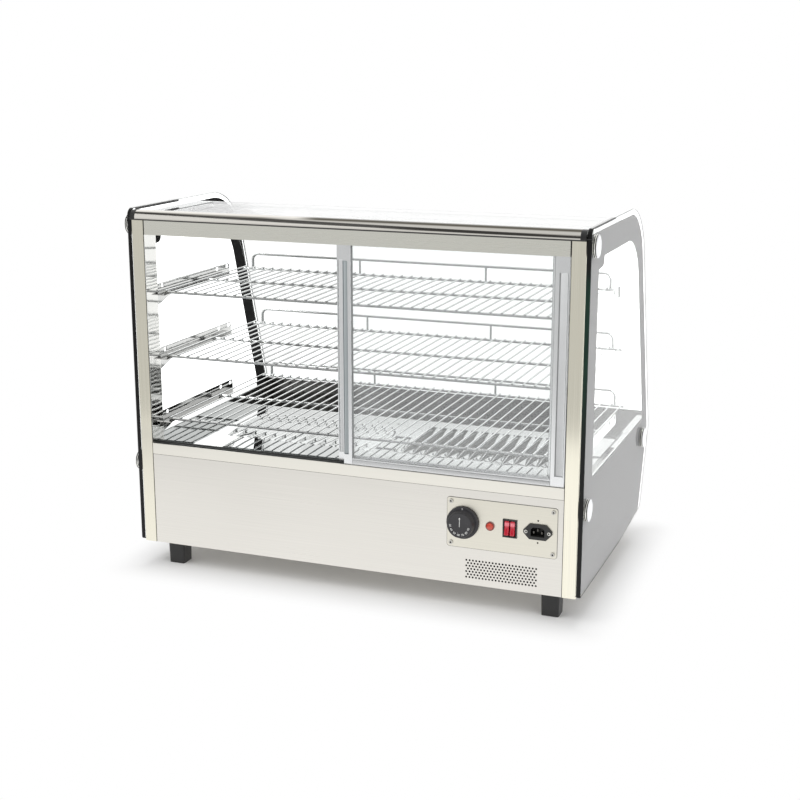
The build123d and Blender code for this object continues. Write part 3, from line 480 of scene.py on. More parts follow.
@dataclass(frozen=True)
class PostSteel(BrushedSteel):
    """Steel of the posts: brushed outside and polished where it faces the inside.

    The left post is painted a little darker in its lower half, as painted shade.
    """

    colour: Colour = (0.83, 0.8, 0.68)
    grain: Axis = Axis.Z
    roughness: float = 0.13
    spread: float = 0.06
    relief: float = 0.0004
    shadow: Colour = (0.66, 0.635, 0.55)
    mirror: Colour = (0.8, 0.795, 0.77)
    line: Colour = (0.11, 0.105, 0.085)
    inner: float = 0.389 + 0.3 * MM
    line_width: float = MM
    gloss: float = 0.09
    swell: Point = (22.0, 22.0, 9.0)
    shadow_rise: Pair = (0.06, 0.26)
    shadow_top: Pair = (0.25, 0.29)

    def shade(self, nodes: Nodes) -> bpy.types.NodeSocket:
        """Shade the outside, the polished inside and the dark line of painted shade and reflection between
        them.

        Args:
            nodes: The empty tree.

        Returns:
            The shader of the surface.
        """
        x, y, z = nodes.place()
        streak = self.streaks(nodes)
        wave = nodes.noise(self.swell, 1.0)
        inside = abs(x) < self.inner
        # Painted shade and reflection: a dark line along the inner corner of each post.
        seam = (abs(x) < self.inner + self.line_width) * (1.0 - inside)
        # Painted shade: the lower half of the left post is painted darker.
        shaded = nodes.blend(z.rise(*self.shadow_rise), dimmed(self.colour, 0.9), self.shadow)
        lower_left = (x < 0.0) * (1.0 - z.rise(*self.shadow_top))
        outside = nodes.blend(lower_left, self.sheet(nodes, streak), shaded)
        steel = nodes.blend(inside, outside, self.mirror)
        return nodes.principled(
            Base_Color=nodes.blend(seam, steel, self.line),
            Metallic=1.0,
            Roughness=self.roughness + self.spread * (streak - 0.5) - self.gloss * inside,
            Normal=nodes.bump(0.05 * streak + inside * wave, self.relief),
        )


@dataclass(frozen=True)
class PaintedReflectionLine:
    """A dark line painted along the rail as a painted reflection, with soft edges, that starts or stops
    between two places.
    """

    lower_edge: Pair
    upper_edge: Pair
    end: Pair
    on_right: bool
    depth: float

    def mask(self, x: Value, z: Value) -> Value:
        """Tell where the line is.

        Args:
            x: Place along the rail.
            z: Height.

        Returns:
            The depth of the line on it and 0 beside it.
        """
        right = x.rise(*self.end)
        side = right if self.on_right else 1.0 - right
        return self.depth * z.band(self.lower_edge, self.upper_edge) * side


@dataclass(frozen=True)
class RailSteel(Finish):
    """Polished rail on a dark seal, with painted shade in the gap there, and dark painted reflections along
    its rounding.
    """

    colour: Colour = (0.83, 0.805, 0.75)
    dark: Colour = (0.1, 0.09, 0.068)
    seal: Colour = (0.02, 0.019, 0.017)
    seal_z: float = 0.6522
    painted_reflections: tuple[PaintedReflectionLine, ...] = (
        PaintedReflectionLine((0.6618, 0.6654), (0.6688, 0.6694), (-0.1, -0.05), True, 1.0),
        PaintedReflectionLine((0.654, 0.655), (0.659, 0.6602), (0.03, 0.14), True, 0.55),
        PaintedReflectionLine((0.6612, 0.662), (0.664, 0.665), (-0.16, -0.1), False, 0.6),
        PaintedReflectionLine((0.667, 0.6675), (0.6679, 0.6684), (-0.1, -0.05), False, 0.6),
    )

    def shade(self, nodes: Nodes) -> bpy.types.NodeSocket:
        """Shade the rail with its painted reflections, and the seal below it with its painted shade.

        Args:
            nodes: The empty tree.

        Returns:
            The shader of the surface.
        """
        x, y, z = nodes.place()
        haze = nodes.noise((12.0, 200.0, 200.0), 2.0)
        # Painted shade on the seal below seal_z, and dark painted reflections along the rounding.
        sealed = z < self.seal_z
        steel = nodes.blend(sum(line.mask(x, z) for line in self.painted_reflections), self.colour, self.dark)
        return nodes.principled(
            Base_Color=nodes.blend(sealed, steel, self.seal),
            Metallic=1.0 - sealed,
            Roughness=0.07 + 0.04 * (haze - 0.5) + 0.4 * sealed,
        )


@dataclass(frozen=True)
class Polished(Finish):
    """Polished metal with a slight waviness."""

    colour: Colour = (0.85, 0.845, 0.83)
    roughness: float = 0.06
    wave: float = 0.0
    waves: Point = (11.0, 11.0, 11.0)

    def shade(self, nodes: Nodes) -> bpy.types.NodeSocket:
        """Shade the metal, duller in faint hazy patches.

        Args:
            nodes: The empty tree.

        Returns:
            The shader of the surface.
        """
        swell = nodes.noise(self.waves, 1.0)
        haze = nodes.noise((30.0, 30.0, 30.0), 3.0)
        return nodes.principled(
            Base_Color=self.colour,
            Metallic=1.0,
            Roughness=self.roughness + 0.02 * haze.rise(0.45, 0.8),
            Normal=nodes.bump(swell, self.wave),
        )


@dataclass(frozen=True)
class WireSteel(Finish):
    """Plated wire, painted bright above and darker below as painted light and shade."""

    light: Colour = (0.95, 0.96, 0.955)
    dark: Colour = (0.28, 0.29, 0.29)
    roughness: float = 0.25

    def shade(self, nodes: Nodes) -> bpy.types.NodeSocket:
        """Paint light and shade on the wire by how far its surface faces up.

        Args:
            nodes: The empty tree.

        Returns:
            The shader of the surface.
        """
        across, along, up = nodes.facing()
        haze = nodes.noise((60.0, 60.0, 60.0), 2.0)
        # Painted light and shade: the colour runs from dark underneath to light on top.
        return nodes.principled(
            Base_Color=nodes.blend(up.rise(-0.1, 0.55), self.dark, self.light),
            Metallic=1.0,
            Roughness=self.roughness + 0.05 * (haze - 0.5),
        )


@dataclass(frozen=True)
class Plain(Finish):
    """Even surface with a fine grain, such as moulded plastic or anodised metal."""

    colour: Colour = (0.5, 0.5, 0.5)
    metallic: float = 0.0
    roughness: float = 0.4
    mottle: float = 0.1
    grain: float = 1800.0
    relief: float = 0.00002

    def shade(self, nodes: Nodes) -> bpy.types.NodeSocket:
        """Shade the surface with soft clouds and a fine speckled relief.

        Args:
            nodes: The empty tree.

        Returns:
            The shader of the surface.
        """
        speck = nodes.noise((self.grain, self.grain, self.grain), 2.0)
        cloud = nodes.noise((45.0, 45.0, 45.0), 2.0)
        return nodes.principled(
            Base_Color=nodes.blend(cloud.rise(0.3, 0.7), dimmed(self.colour, 1.0 - self.mottle), self.colour),
            Metallic=self.metallic,
            Roughness=self.roughness + self.mottle * (cloud - 0.5),
            Normal=nodes.bump(speck, self.relief),
        )


@dataclass(frozen=True)
class DustyGlass(Finish):
    """Thin glass with a film of dust and a slightly smeared reflection."""

    tint: Colour = (0.996, 1.0, 1.0)
    dust: Colour = (0.96, 0.98, 0.98)
    straight_on: float = 0.05
    film: float = 0.045
    haze: float = 0.03

    def shade(self, nodes: Nodes) -> bpy.types.NodeSocket:
        """Shade the clear glass with its dust, and the reflection over both.

        Args:
            nodes: The empty tree.

        Returns:
            The shader of the surface.
        """
        smear = nodes.noise((9.0, 9.0, 9.0), 3.0)
        clear = nodes.shader("ShaderNodeBsdfTransparent", Color=self.tint)
        dust = nodes.shader("ShaderNodeBsdfDiffuse", Color=self.dust)
        shine = nodes.shader("ShaderNodeBsdfGlossy", Color=WHITE, Roughness=self.haze * smear.rise(0.5, 0.8))
        body = nodes.mix(self.film * smear.rise(-0.2, 0.6), clear, dust)
        return nodes.mix(nodes.grazing(self.straight_on), body, shine)


@dataclass(frozen=True)
class BentGlass(Finish):
    """Clear glass that catches more light in its bend."""

    tint: Colour = (0.994, 0.998, 0.996)
    straight_on: float = 0.03
    bend: float = 0.25
    bend_foot: Pair = (0.575, 0.585)
    bend_top: Pair = (0.645, 0.652)

    def shade(self, nodes: Nodes) -> bpy.types.NodeSocket:
        """Shade the clear glass and its reflection.

        Args:
            nodes: The empty tree.

        Returns:
            The shader of the surface.
        """
        x, y, z = nodes.place()
        clear = nodes.shader("ShaderNodeBsdfTransparent", Color=self.tint)
        shine = nodes.shader("ShaderNodeBsdfGlossy", Color=WHITE, Roughness=0.0)
        mirror = nodes.grazing(self.straight_on) + self.bend * z.band(self.bend_foot, self.bend_top)
        return nodes.mix(mirror, clear, shine)


@dataclass(frozen=True)
class PaneGlass(Finish):
    """Thick glass that bends the view, part of it without a reflection."""

    tint: Colour = (0.99, 0.997, 0.994)
    index: float = 1.52
    clean: float = 0.5

    def shade(self, nodes: Nodes) -> bpy.types.NodeSocket:
        """Shade the glass and the view through it.

        Args:
            nodes: The empty tree.

        Returns:
            The shader of the surface.
        """
        glass = nodes.principled(Base_Color=self.tint, Roughness=0.0, IOR=self.index, Transmission_Weight=1.0)
        view = nodes.shader("ShaderNodeBsdfRefraction", Color=self.tint, Roughness=0.0, IOR=self.index)
        return nodes.mix(self.clean, glass, view)


@dataclass(frozen=True)
class GlassEdge(Finish):
    """Polished edge of thick glass.

    Its light and shade are painted: a green glow high up on the right, a pale highlight along the top and the
    front and near-black shade elsewhere. The arris nearer to the operator's right is painted dark along the
    rear part of the top.
    """

    deep: Colour = (0.003, 0.003, 0.003)
    green: Colour = (0.006, 0.034, 0.02)
    pale: Colour = (0.84, 0.85, 0.84)
    dull: Colour = (0.36, 0.37, 0.37)
    middle: float = 0.4177
    arris: float = 0.0027
    top: float = 0.58
    rear: float = -0.25
    front: float = 0.05
    change: Pair = (-0.1, -0.08)
    green_foot: Pair = (0.28, 0.46)
    green_top: Pair = (0.57, 0.61)

    def shade(self, nodes: Nodes) -> bpy.types.NodeSocket:
        """Paint the light and shade of the edge: its body, its pale highlight and its two arrises.

        Args:
            nodes: The empty tree.

        Returns:
            The shader of the surface.
        """
        x, y, z = nodes.place()
        streak = nodes.noise((700.0, 25.0, 25.0), 2.0)
        right = x > 0.0
        across = (abs(x) - self.middle) * (2.0 * right - 1.0)
        ahead = y.rise(*self.change)
        # Painted light and shade: a green glow high on the right, a pale highlight at the top and the front,
        # near-black elsewhere.
        tinted = right * z.band(self.green_foot, self.green_top) * (0.5 + 0.5 * streak.rise(0.3, 0.75))
        body = nodes.blend(tinted, self.deep, self.green)
        painted_highlight = nodes.blend(ahead, dimmed(self.pale, 0.62), self.pale)
        plain = nodes.maths("MAXIMUM", right * y.rise(0.02, 0.08), 1.0 - z.rise(0.58, 0.62))
        nearer = nodes.blend(ahead, self.deep, nodes.blend(plain, self.dull, self.pale))
        painted_highlight = nodes.blend(across < -self.arris, painted_highlight, self.dull)
        painted_highlight = nodes.blend(across > self.arris, painted_highlight, nearer)
        lit = nodes.maths("MAXIMUM", (z > self.top) * (y > self.rear), y > self.front)
        return nodes.principled(
            Base_Color=nodes.blend(lit, body, painted_highlight),
            Roughness=0.3 + 0.1 * (streak - 0.5),
            Specular_IOR_Level=0.25,
        )


@dataclass(frozen=True)
class BorderPrint(Finish):
    """Fired black print on glass, painted grey on the face seen through the glass as a painted reflection."""

    colour: Colour = (0.009, 0.009, 0.009)
    outside: Colour = (0.36, 0.357, 0.36)
    roughness: float = 0.7
    gloss: float = 0.08

    def shade(self, nodes: Nodes) -> bpy.types.NodeSocket:
        """Shade the speckled ink, and paint the face that looks away from the middle grey as a painted
        reflection.

        Args:
            nodes: The empty tree.

        Returns:
            The shader of the surface.
        """
        x, y, z = nodes.place()
        across, along, up = nodes.facing()
        speck = nodes.noise((900.0, 900.0, 900.0), 2.0)
        ink = nodes.blend(speck.rise(0.4, 0.7), self.colour, dimmed(self.colour, 1.5))
        # Painted reflection: the outer face, seen through the glass, is painted grey.
        outward = across * (2.0 * (x > 0.0) - 1.0) > 0.5
        return nodes.principled(
            Base_Color=nodes.blend(outward, ink, self.outside),
            Roughness=self.roughness + 0.1 * (speck - 0.5),
            Specular_IOR_Level=self.gloss,
        )


@dataclass(frozen=True)
class ScrewSteel(Finish):
    """Heads of a group of screws, with a dark spot of painted shade for the driver's hollow in their middles.
    """

    colour: Colour = (0.52, 0.51, 0.48)
    dark: Colour = (0.02, 0.02, 0.02)
    middle: Pair = (0.0, 0.0)
    half: Pair = (0.1, 0.1)
    head: float = 0.0035
    hollow: float = 0.0014
    soft: float = 0.0003

    def shade(self, nodes: Nodes) -> bpy.types.NodeSocket:
        """Shade the heads by the distance from the nearest screw's axis.

        Args:
            nodes: The empty tree.

        Returns:
            The shader of the surface.
        """
        x, y, z = nodes.place()
        aside = abs(x - self.middle[0]) - max(self.half[0] - self.head, 0.0)
        above = abs(z - self.middle[1]) - max(self.half[1] - self.head, 0.0)
        away = (aside**2.0 + above**2.0) ** 0.5
        # Painted shade: a dark spot stands for the shade in the driver's hollow.
        dark = 1.0 - away.rise(self.hollow - self.soft, self.hollow + self.soft)
        return nodes.principled(
            Base_Color=nodes.blend(dark, self.colour, self.dark),
            Metallic=1.0 - dark,
            Roughness=0.25 + 0.3 * dark,
        )


@dataclass(frozen=True)
class PilotLens(Finish):
    """Lens of the pilot lamp, inside a darker ring of painted shade round its edge."""

    centre: Pair = (0.2625, 0.159)
    radius: float = 0.0061
    lens: Colour = (0.58, 0.05, 0.02)
    ring: Colour = (0.2, 0.02, 0.012)

    def shade(self, nodes: Nodes) -> bpy.types.NodeSocket:
        """Shade the lens and its ring of painted shade by the distance from the middle.

        Args:
            nodes: The empty tree.

        Returns:
            The shader of the surface.
        """
        x, y, z = nodes.place()
        away = ((x - self.centre[0]) ** 2.0 + (z - self.centre[1]) ** 2.0) ** 0.5
        # Painted shade: beyond the radius the lens is painted darker.
        return nodes.principled(
            Base_Color=nodes.blend(away > self.radius, self.lens, self.ring),
            Roughness=0.2,
            Coat_Weight=0.7,
            Coat_Roughness=0.05,
        )


@dataclass(frozen=True)
class RockerRed(Finish):
    """Translucent red plastic with a pale painted highlight across the upper part of the rocker."""

    colour: Colour = (0.5, 0.006, 0.025)
    pale: Colour = (0.86, 0.2, 0.25)
    middle: float = 0.16
    half: float = 0.01
    pale_foot: Pair = (0.25, 0.55)
    pale_top: Pair = (0.7, 1.0)

    def shade(self, nodes: Nodes) -> bpy.types.NodeSocket:
        """Shade the rocker, with its painted highlight placed by the height over its middle.

        Args:
            nodes: The empty tree.

        Returns:
            The shader of the surface.
        """
        x, y, z = nodes.place()
        height = (z - self.middle) * (1.0 / self.half)
        # Painted highlight: a pale band across the upper part of the rocker.
        return nodes.principled(
            Base_Color=nodes.blend(height.band(self.pale_foot, self.pale_top), self.colour, self.pale),
            Roughness=0.25,
            Coat_Weight=0.7,
            Coat_Roughness=0.08,
        )


@dataclass
class Surface:
    """Points and faces of a surface, kept as arrays."""

    points: np.ndarray
    quads: np.ndarray = field(default_factory=lambda: np.zeros((0, 4), int))
    caps: list[np.ndarray] = field(default_factory=list)
    quad_marks: np.ndarray = field(default_factory=lambda: np.zeros(0, int))
    cap_marks: list[int] = field(default_factory=list)

    @staticmethod
    def join(parts: Iterable["Surface"]) -> "Surface":
        """Put surfaces together as one.

        Args:
            parts: The surfaces.

        Returns:
            The joined surface.
        """
        parts = list(parts)
        starts = np.cumsum([0] + [len(part.points) for part in parts])
        return Surface(
            np.concatenate([part.points for part in parts]),
            np.concatenate([part.quads + start for part, start in zip(parts, starts)]),
            [cap + start for part, start in zip(parts, starts) for cap in part.caps],
            np.concatenate([part.quad_marks for part in parts]),
            [mark for part in parts for mark in part.cap_marks],
        )

    def marked(self, mark: int) -> "Surface":
        """Give every face a material number.

        Args:
            mark: The number.

        Returns:
            This surface.
        """
        self.quad_marks = np.full(len(self.quads), mark)
        self.cap_marks = [mark] * len(self.caps)
        return self

    def outward(self) -> "Surface":
        """Turn the faces of a closed surface outwards.

        The room inside is the sum of the pyramids from the origin to each face, and it is negative
        where the faces point inwards.

        Returns:
            This surface.
        """
        room = 0.0
        for faces in [self.quads, *(cap[None] for cap in self.caps)]:
            corners = self.points[faces]
            room += np.sum(np.cross(corners[:, 1:-1], corners[:, 2:]) * corners[:, :1])
        if room < 0.0:
            self.quads = self.quads[:, ::-1]
            self.caps = [cap[::-1] for cap in self.caps]
        return self

    def build(self, name: str, finishes: Sequence[Finish], crease: float = 35.0) -> bpy.types.Object:
        """Make the object.

        Args:
            name: Name of the object.
            finishes: Materials in the order of the material numbers.
            crease: Edges that turn more than this, in degrees, stay sharp.

        Returns:
            The object, at the origin.
        """
        mesh = bpy.data.meshes.new(name)
        faces = self.quads.tolist() + [cap.tolist() for cap in self.caps]
        mesh.from_pydata(self.points.tolist(), [], faces)
        marks = np.concatenate([self.quad_marks, np.array(self.cap_marks, int)])
        mesh.polygons.foreach_set("material_index", marks.astype(np.int32))
        mesh.polygons.foreach_set("use_smooth", np.ones(len(faces), bool))
        mesh.set_sharp_from_angle(angle=math.radians(crease))
        for finish in finishes:
            mesh.materials.append(finish.material())
        made = bpy.data.objects.new(name, mesh)
        bpy.context.collection.objects.link(made)
        return made


def grid(points: np.ndarray, wrap: bool = False) -> Surface:
    """Make a surface over rows and columns of points, with a face between every four neighbours.

    Args:
        points: An array of rows, columns and three coordinates.
        wrap: Whether the last column meets the first.

    Returns:
        The surface.
    """
    rows, columns = points.shape[:2]
    number = np.arange(rows * columns).reshape(rows, columns)
    after = np.roll(number, -1, axis=1)
    if not wrap:
        number, after = number[:, :-1], after[:, :-1]
    quads = np.stack([number[:-1], after[:-1], after[1:], number[1:]], axis=-1).reshape(-1, 4)
    return Surface(points.reshape(-1, 3), quads, quad_marks=np.zeros(len(quads), int))


def close_ends(surface: Surface, rows: int, columns: int) -> Surface:
    """Close the first and last row of a wrapped surface.

    Args:
        surface: The surface.
        rows: Its rows.
        columns: Its columns.

    Returns:
        The same surface with its caps.
    """
    ring = np.arange(columns)
    surface.caps += [ring[::-1], ring + (rows - 1) * columns]
    surface.cap_marks += [0, 0]
    return surface


def unit(vectors: np.ndarray) -> np.ndarray:
    """Scale vectors to length one.

    Args:
        vectors: The vectors, along the last axis.

    Returns:
        The scaled vectors.
    """
    return vectors / np.linalg.norm(vectors, axis=-1, keepdims=True)


def tube(path: np.ndarray, radius: np.ndarray | float, across: Point, sides: int = 10) -> Surface:
    """Carry a round profile along a path.

    Each point of the path gets a ring: the point, plus the radius times the cosine and the sine of the
    turn along two directions square to the path.

    Args:
        path: Points of the path.
        radius: Radius, one for all or one for each point.
        across: A direction that is never along the path.
        sides: Sides of the profile.

    Returns:
        The closed tube.
    """
    along = unit(np.gradient(path, axis=0))
    first = unit(np.cross(along, across))
    second = np.cross(along, first)
    turn = np.linspace(0.0, 2.0 * math.pi, sides, endpoint=False)
    reach = np.broadcast_to(radius, len(path))[:, None, None]
    ring = np.cos(turn)[None, :, None] * first[:, None] + np.sin(turn)[None, :, None] * second[:, None]
    return close_ends(grid(path[:, None] + reach * ring, wrap=True), len(path), sides)


# Distance from the end of a rod and width there, both as shares of its radius.
ROD_END = np.array([[0.0, 0.12, 0.4, 1.0], [0.45, 0.75, 0.95, 1.0]])


def rod(start: Point, stop: Point, radius: float, across: Point, sides: int = 10) -> Surface:
    """Make a straight rod with rounded ends.

    It is a tube whose radius narrows over the last radius of its length.

    Args:
        start: First end.
        stop: Last end.
        radius: Radius of the rod.
        across: A direction that is not along the rod.
        sides: Sides of the profile.

    Returns:
        The closed rod.
    """
    begin, finish = np.array(start, float), np.array(stop, float)
    length = np.linalg.norm(finish - begin)
    steps = radius * ROD_END[0]
    widths = ROD_END[1]
    run = np.concatenate([steps, length - steps[::-1]])
    path = begin + run[:, None] * unit(finish - begin)
    return tube(path, radius * np.concatenate([widths, widths[::-1]]), across, sides)


def revolve(profile: np.ndarray, centre: Point, axis: Axis, sides: int = 48, sense: float = 1.0) -> Surface:
    """Turn a profile round an axis.

    A row of the profile becomes a ring at its place along the axis, of the radius times the cosine and
    the sine of the turn.

    Args:
        profile: Rows of a place along the axis and a radius.
        centre: A point on the axis.
        axis: Direction of the axis.
        sides: Sides round the axis.
        sense: 1 or -1, the way the profile runs along the axis.

    Returns:
        The closed surface.
    """
    turn = np.linspace(0.0, 2.0 * math.pi, sides, endpoint=False)
    points = np.zeros((len(profile), sides, 3))
    rest = [other.value for other in Axis if other is not axis]
    points[:, :, axis.value] = sense * profile[:, 0, None]
    points[:, :, rest[0]] = profile[:, 1, None] * np.cos(turn)
    points[:, :, rest[1]] = profile[:, 1, None] * np.sin(turn)
    return close_ends(grid(points + np.array(centre), wrap=True), len(profile), sides)


def rounded(corners: Sequence[Pair], radii: Sequence[float], steps: int = 14) -> np.ndarray:
    """Go round a polygon whose corners are rounded.

    An arc starts at the radius times the tangent of half the turn before its corner and touches both
    edges.

    Args:
        corners: The corners in order.
        radii: Radius of each corner.
        steps: Segments of each arc.

    Returns:
        Points of the outline.
    """
    points = np.array(corners, float)
    radius = np.array(radii, float)
    into = unit(points - np.roll(points, 1, axis=0))
    away = unit(np.roll(points, -1, axis=0) - points)
    turn = np.arctan2(into[:, 0] * away[:, 1] - into[:, 1] * away[:, 0], np.sum(into * away, axis=1))
    start = points - into * (radius * np.tan(np.abs(turn) / 2.0))[:, None]
    normal = np.stack([-into[:, 1], into[:, 0]], axis=1) * np.sign(turn)[:, None]
    centre = start + normal * radius[:, None]
    first = np.arctan2(start[:, 1] - centre[:, 1], start[:, 0] - centre[:, 0])
    angle = first[:, None] + turn[:, None] * np.linspace(0.0, 1.0, steps + 1)
    arcs = centre[:, None] + radius[:, None, None] * np.stack([np.cos(angle), np.sin(angle)], axis=-1)
    return arcs.reshape(-1, 2)


def shrink(outline: np.ndarray, distance: float) -> np.ndarray:
    """Move a closed outline inwards.

    A point moves along the sum of its two edges' inward normals, divided by one plus their scalar
    product, so that both edges move by the distance.

    Args:
        outline: Points of the outline.
        distance: How far to move it.

    Returns:
        The moved points.
    """
    edge = unit(np.roll(outline, -1, axis=0) - outline)
    area = np.sum(outline[:, 0] * np.roll(outline[:, 1], -1) - outline[:, 1] * np.roll(outline[:, 0], -1))
    inward = math.copysign(1.0, area) * np.stack([-edge[:, 1], edge[:, 0]], axis=1)
    before = np.roll(inward, 1, axis=0)
    share = 1.0 + np.sum(inward * before, axis=1)
    return outline + distance * (inward + before) / share[:, None]


def plate(
    outline: np.ndarray, stations: Sequence[Pair], lift: Callable[[np.ndarray, float], np.ndarray]
) -> Surface:
    """Make a plate from an outline, with bevelled or rounded edges.

    Its rings are the outline, moved inwards at each height, and the first and the last are closed.

    Args:
        outline: Points of the outline in its plane.
        stations: Heights over the plane, each with how far the outline is moved inwards there.
        lift: Puts flat points at a height into the model frame.

    Returns:
        The closed plate. Its rim has mark 1 and its two faces mark 0.
    """
    rings = np.stack([lift(shrink(outline, inset), height) for height, inset in stations])
    made = grid(rings, wrap=True).marked(1)
    return close_ends(made, len(stations), len(outline)).outward()


@dataclass(frozen=True)
class Case:
    """Main places of the case, read from its parts, and the sizes that shape its glass."""

    rear: float
    post_inner: float
    glass_inner: float
    glass_outer: float
    top: float
    deck_top: float
    glass_foot: float
    depth: float = 0.540
    lean: float = math.radians(17.3)
    under: float = math.radians(19.6)
    nose_height: float = 0.217
    nose_radius: float = 0.025
    chin_rise: float = 0.012
    chin_reach: float = 0.210
    rear_foot_radius: float = 0.004
    rear_top_radius: float = 0.014
    bend_radius: float = 0.130
    chin_radius: float = 0.020
    foot_radius: float = 0.060

    @staticmethod
    def measure() -> "Case":
        """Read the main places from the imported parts.

        Returns:
            The case.
        """
        post_low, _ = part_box("post_right")
        pane_low, pane_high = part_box("side_glass_right")
        deck_low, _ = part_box("deck_wall_right")
        return Case(
            rear=post_low.y,
            post_inner=post_low.x,
            glass_inner=pane_low.x,
            glass_outer=pane_high.x,
            top=pane_high.z,
            deck_top=deck_low.z,
            glass_foot=pane_low.z,
        )

    def nose(self, inset: float) -> Pair:
        """Sharp corner of the glass outline at the nose, where the lines that touch its arc meet.

        Args:
            inset: How far the outline is moved inwards.

        Returns:
            Its depth and height.
        """
        radius = self.nose_radius - inset
        spread = math.sin(self.lean + self.under)
        forward = radius * (math.sin(self.under) + math.sin(self.lean)) / spread
        lift = radius * (math.cos(self.under) - math.cos(self.lean)) / spread
        return self.depth - self.nose_radius + forward, self.nose_height + lift

    def front(self, height: float, inset: float) -> float:
        """Give the depth of the leaning front at a height, when it is moved inwards by the inset."""
        nose_y, nose_z = self.nose(inset)
        return nose_y - math.tan(self.lean) * (height - nose_z)

    def pane_outline(self) -> np.ndarray:
        """Outline of the side glass in depth and height.

        Returns:
            Points of the outline.
        """
        nose_y, nose_z = self.nose(0.0)
        chin_z = self.glass_foot + self.chin_rise
        corners = [
            (0.0, self.glass_foot),
            (0.0, self.top),
            (self.front(self.top, 0.0), self.top),
            (nose_y, nose_z),
            (nose_y - math.tan(self.under) * (nose_z - chin_z), chin_z),
            (self.depth - self.chin_reach, self.glass_foot),
        ]
        radii = [
            self.rear_foot_radius,
            self.rear_top_radius,
            self.bend_radius,
            self.nose_radius,
            self.chin_radius,
            self.foot_radius,
        ]
        return rounded(corners, radii, 20)


def face_of(name: str) -> tuple[Pair, Pair]:
    """Measure a CAD node as the operator sees it.

    Args:
        name: Name of the node.

    Returns:
        Its middle and half its size, across and up.
    """
    low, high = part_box(name)
    middle, half = (low + high) / 2.0, (high - low) / 2.0
    return (middle.x, middle.z), (half.x, half.z)


def paint(finish: Finish, *names: str) -> None:
    """Give CAD nodes a finish.

    Args:
        finish: The finish.
        names: Names of the nodes.
    """
    for name in names:
        for holder in NODES[name].material_slots:
            holder.material = finish.material()
        log.info("%s: %s", name, finish.name)


def install(piece: bpy.types.Object, body: str, slot: str, *nodes: str) -> None:
    """Put a new piece on a body.

    Args:
        piece: The piece.
        body: Body that carries it.
        slot: Material slot of the record; not used.
        nodes: CAD nodes that it stands for.
    """
    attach(piece, body)
    if nodes:
        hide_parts(*nodes)
    log.info("%s: %d faces", piece.name, len(piece.data.polygons))


BODY_STEEL = BrushedSteel("body_steel")
BASE_STEEL = BaseSteel("base_steel")
POST_STEEL = PostSteel("post_steel")
HEADER_STEEL = HeaderSteel("header_steel")
TRACK_STEEL = BrushedSteel("track_steel", colour=(0.6, 0.6, 0.58), roughness=0.4)
SILL_STEEL = SillSteel("sill_steel")
BRACKET_STEEL = Polished("bracket_steel", colour=(0.66, 0.66, 0.65), roughness=0.07, wave=0.0002)
RAIL_STEEL = RailSteel("rail_steel")
DECK_STEEL = Polished("deck_steel", colour=(0.77, 0.78, 0.775), roughness=0.015, wave=0.00015)
# Painted light on the knobs: the rim is a brighter copy of the face's chrome as a painted highlight, and the
# grooves are painted near-black as painted shade.
CHROME = Polished("chrome", colour=(0.76, 0.76, 0.775), roughness=0.05)
RIM_CHROME = Polished("rim_chrome", colour=(0.9, 0.9, 0.86), roughness=0.12)
GROOVE_SHADE = Polished("groove", colour=(0.05, 0.048, 0.042), roughness=0.2)
WIRE = WireSteel("wire_chrome")
ALUMINIUM = Plain("door_aluminium", (0.8, 0.81, 0.815), 1.0, 0.25, mottle=0.02, relief=0.0)
# Painted shade: the finger pull's hollow is a darker copy of the frame's aluminium.
PULL_SHADE = Plain("finger_pull", (0.47, 0.51, 0.52), 1.0, 0.3, mottle=0.02, relief=0.0)
SEAL = Plain("door_seal", colour=(0.3, 0.31, 0.31), roughness=0.5)
BLACK = Plain("black_plastic", colour=(0.014, 0.014, 0.014), roughness=0.34)
DIAL_BLACK = Plain("dial_plastic", colour=(0.03, 0.029, 0.032), roughness=0.42)
FOOT_BLACK = Plain("foot_plastic", colour=(0.018, 0.018, 0.018), roughness=0.5)
WHITE_INK = Plain("white_ink", colour=(0.82, 0.82, 0.8), roughness=0.6, relief=0.0)
BRASS = Polished("pin_brass", colour=(0.12, 0.115, 0.105), roughness=0.3)
NYLON = Plain("nylon", colour=(0.75, 0.74, 0.7), roughness=0.5)
SHEATH = Plain("heater_sheath", colour=(0.2, 0.19, 0.18), metallic=0.9, roughness=0.5)
STAND = BrushedSteel("stand_steel", colour=(0.55, 0.54, 0.52), roughness=0.4)
CASE_PLASTIC = Plain("thermostat_case", colour=(0.06, 0.06, 0.065), roughness=0.5)
SPINDLE = Polished("spindle_steel", colour=(0.6, 0.6, 0.6), roughness=0.2)
COPPER = Polished("probe_copper", colour=(0.75, 0.42, 0.28), roughness=0.3)
LAMP = Plain("lamp_tube", colour=(0.86, 0.86, 0.84), roughness=0.25, relief=0.0)
WHITE_PLASTIC = Plain("white_plastic", colour=(0.78, 0.78, 0.75), roughness=0.45)
SIDE_GLASS = PaneGlass("side_glass")
BENT_GLASS = BentGlass("bent_glass")
DOOR_GLASS = DustyGlass("door_glass")
GLASS_EDGE = GlassEdge("glass_edge")
PRINT = BorderPrint("border_print")
BAND = BorderPrint("band_print", colour=(0.03, 0.029, 0.025), roughness=0.35, gloss=0.5)
LENS = PilotLens("lamp_lens")


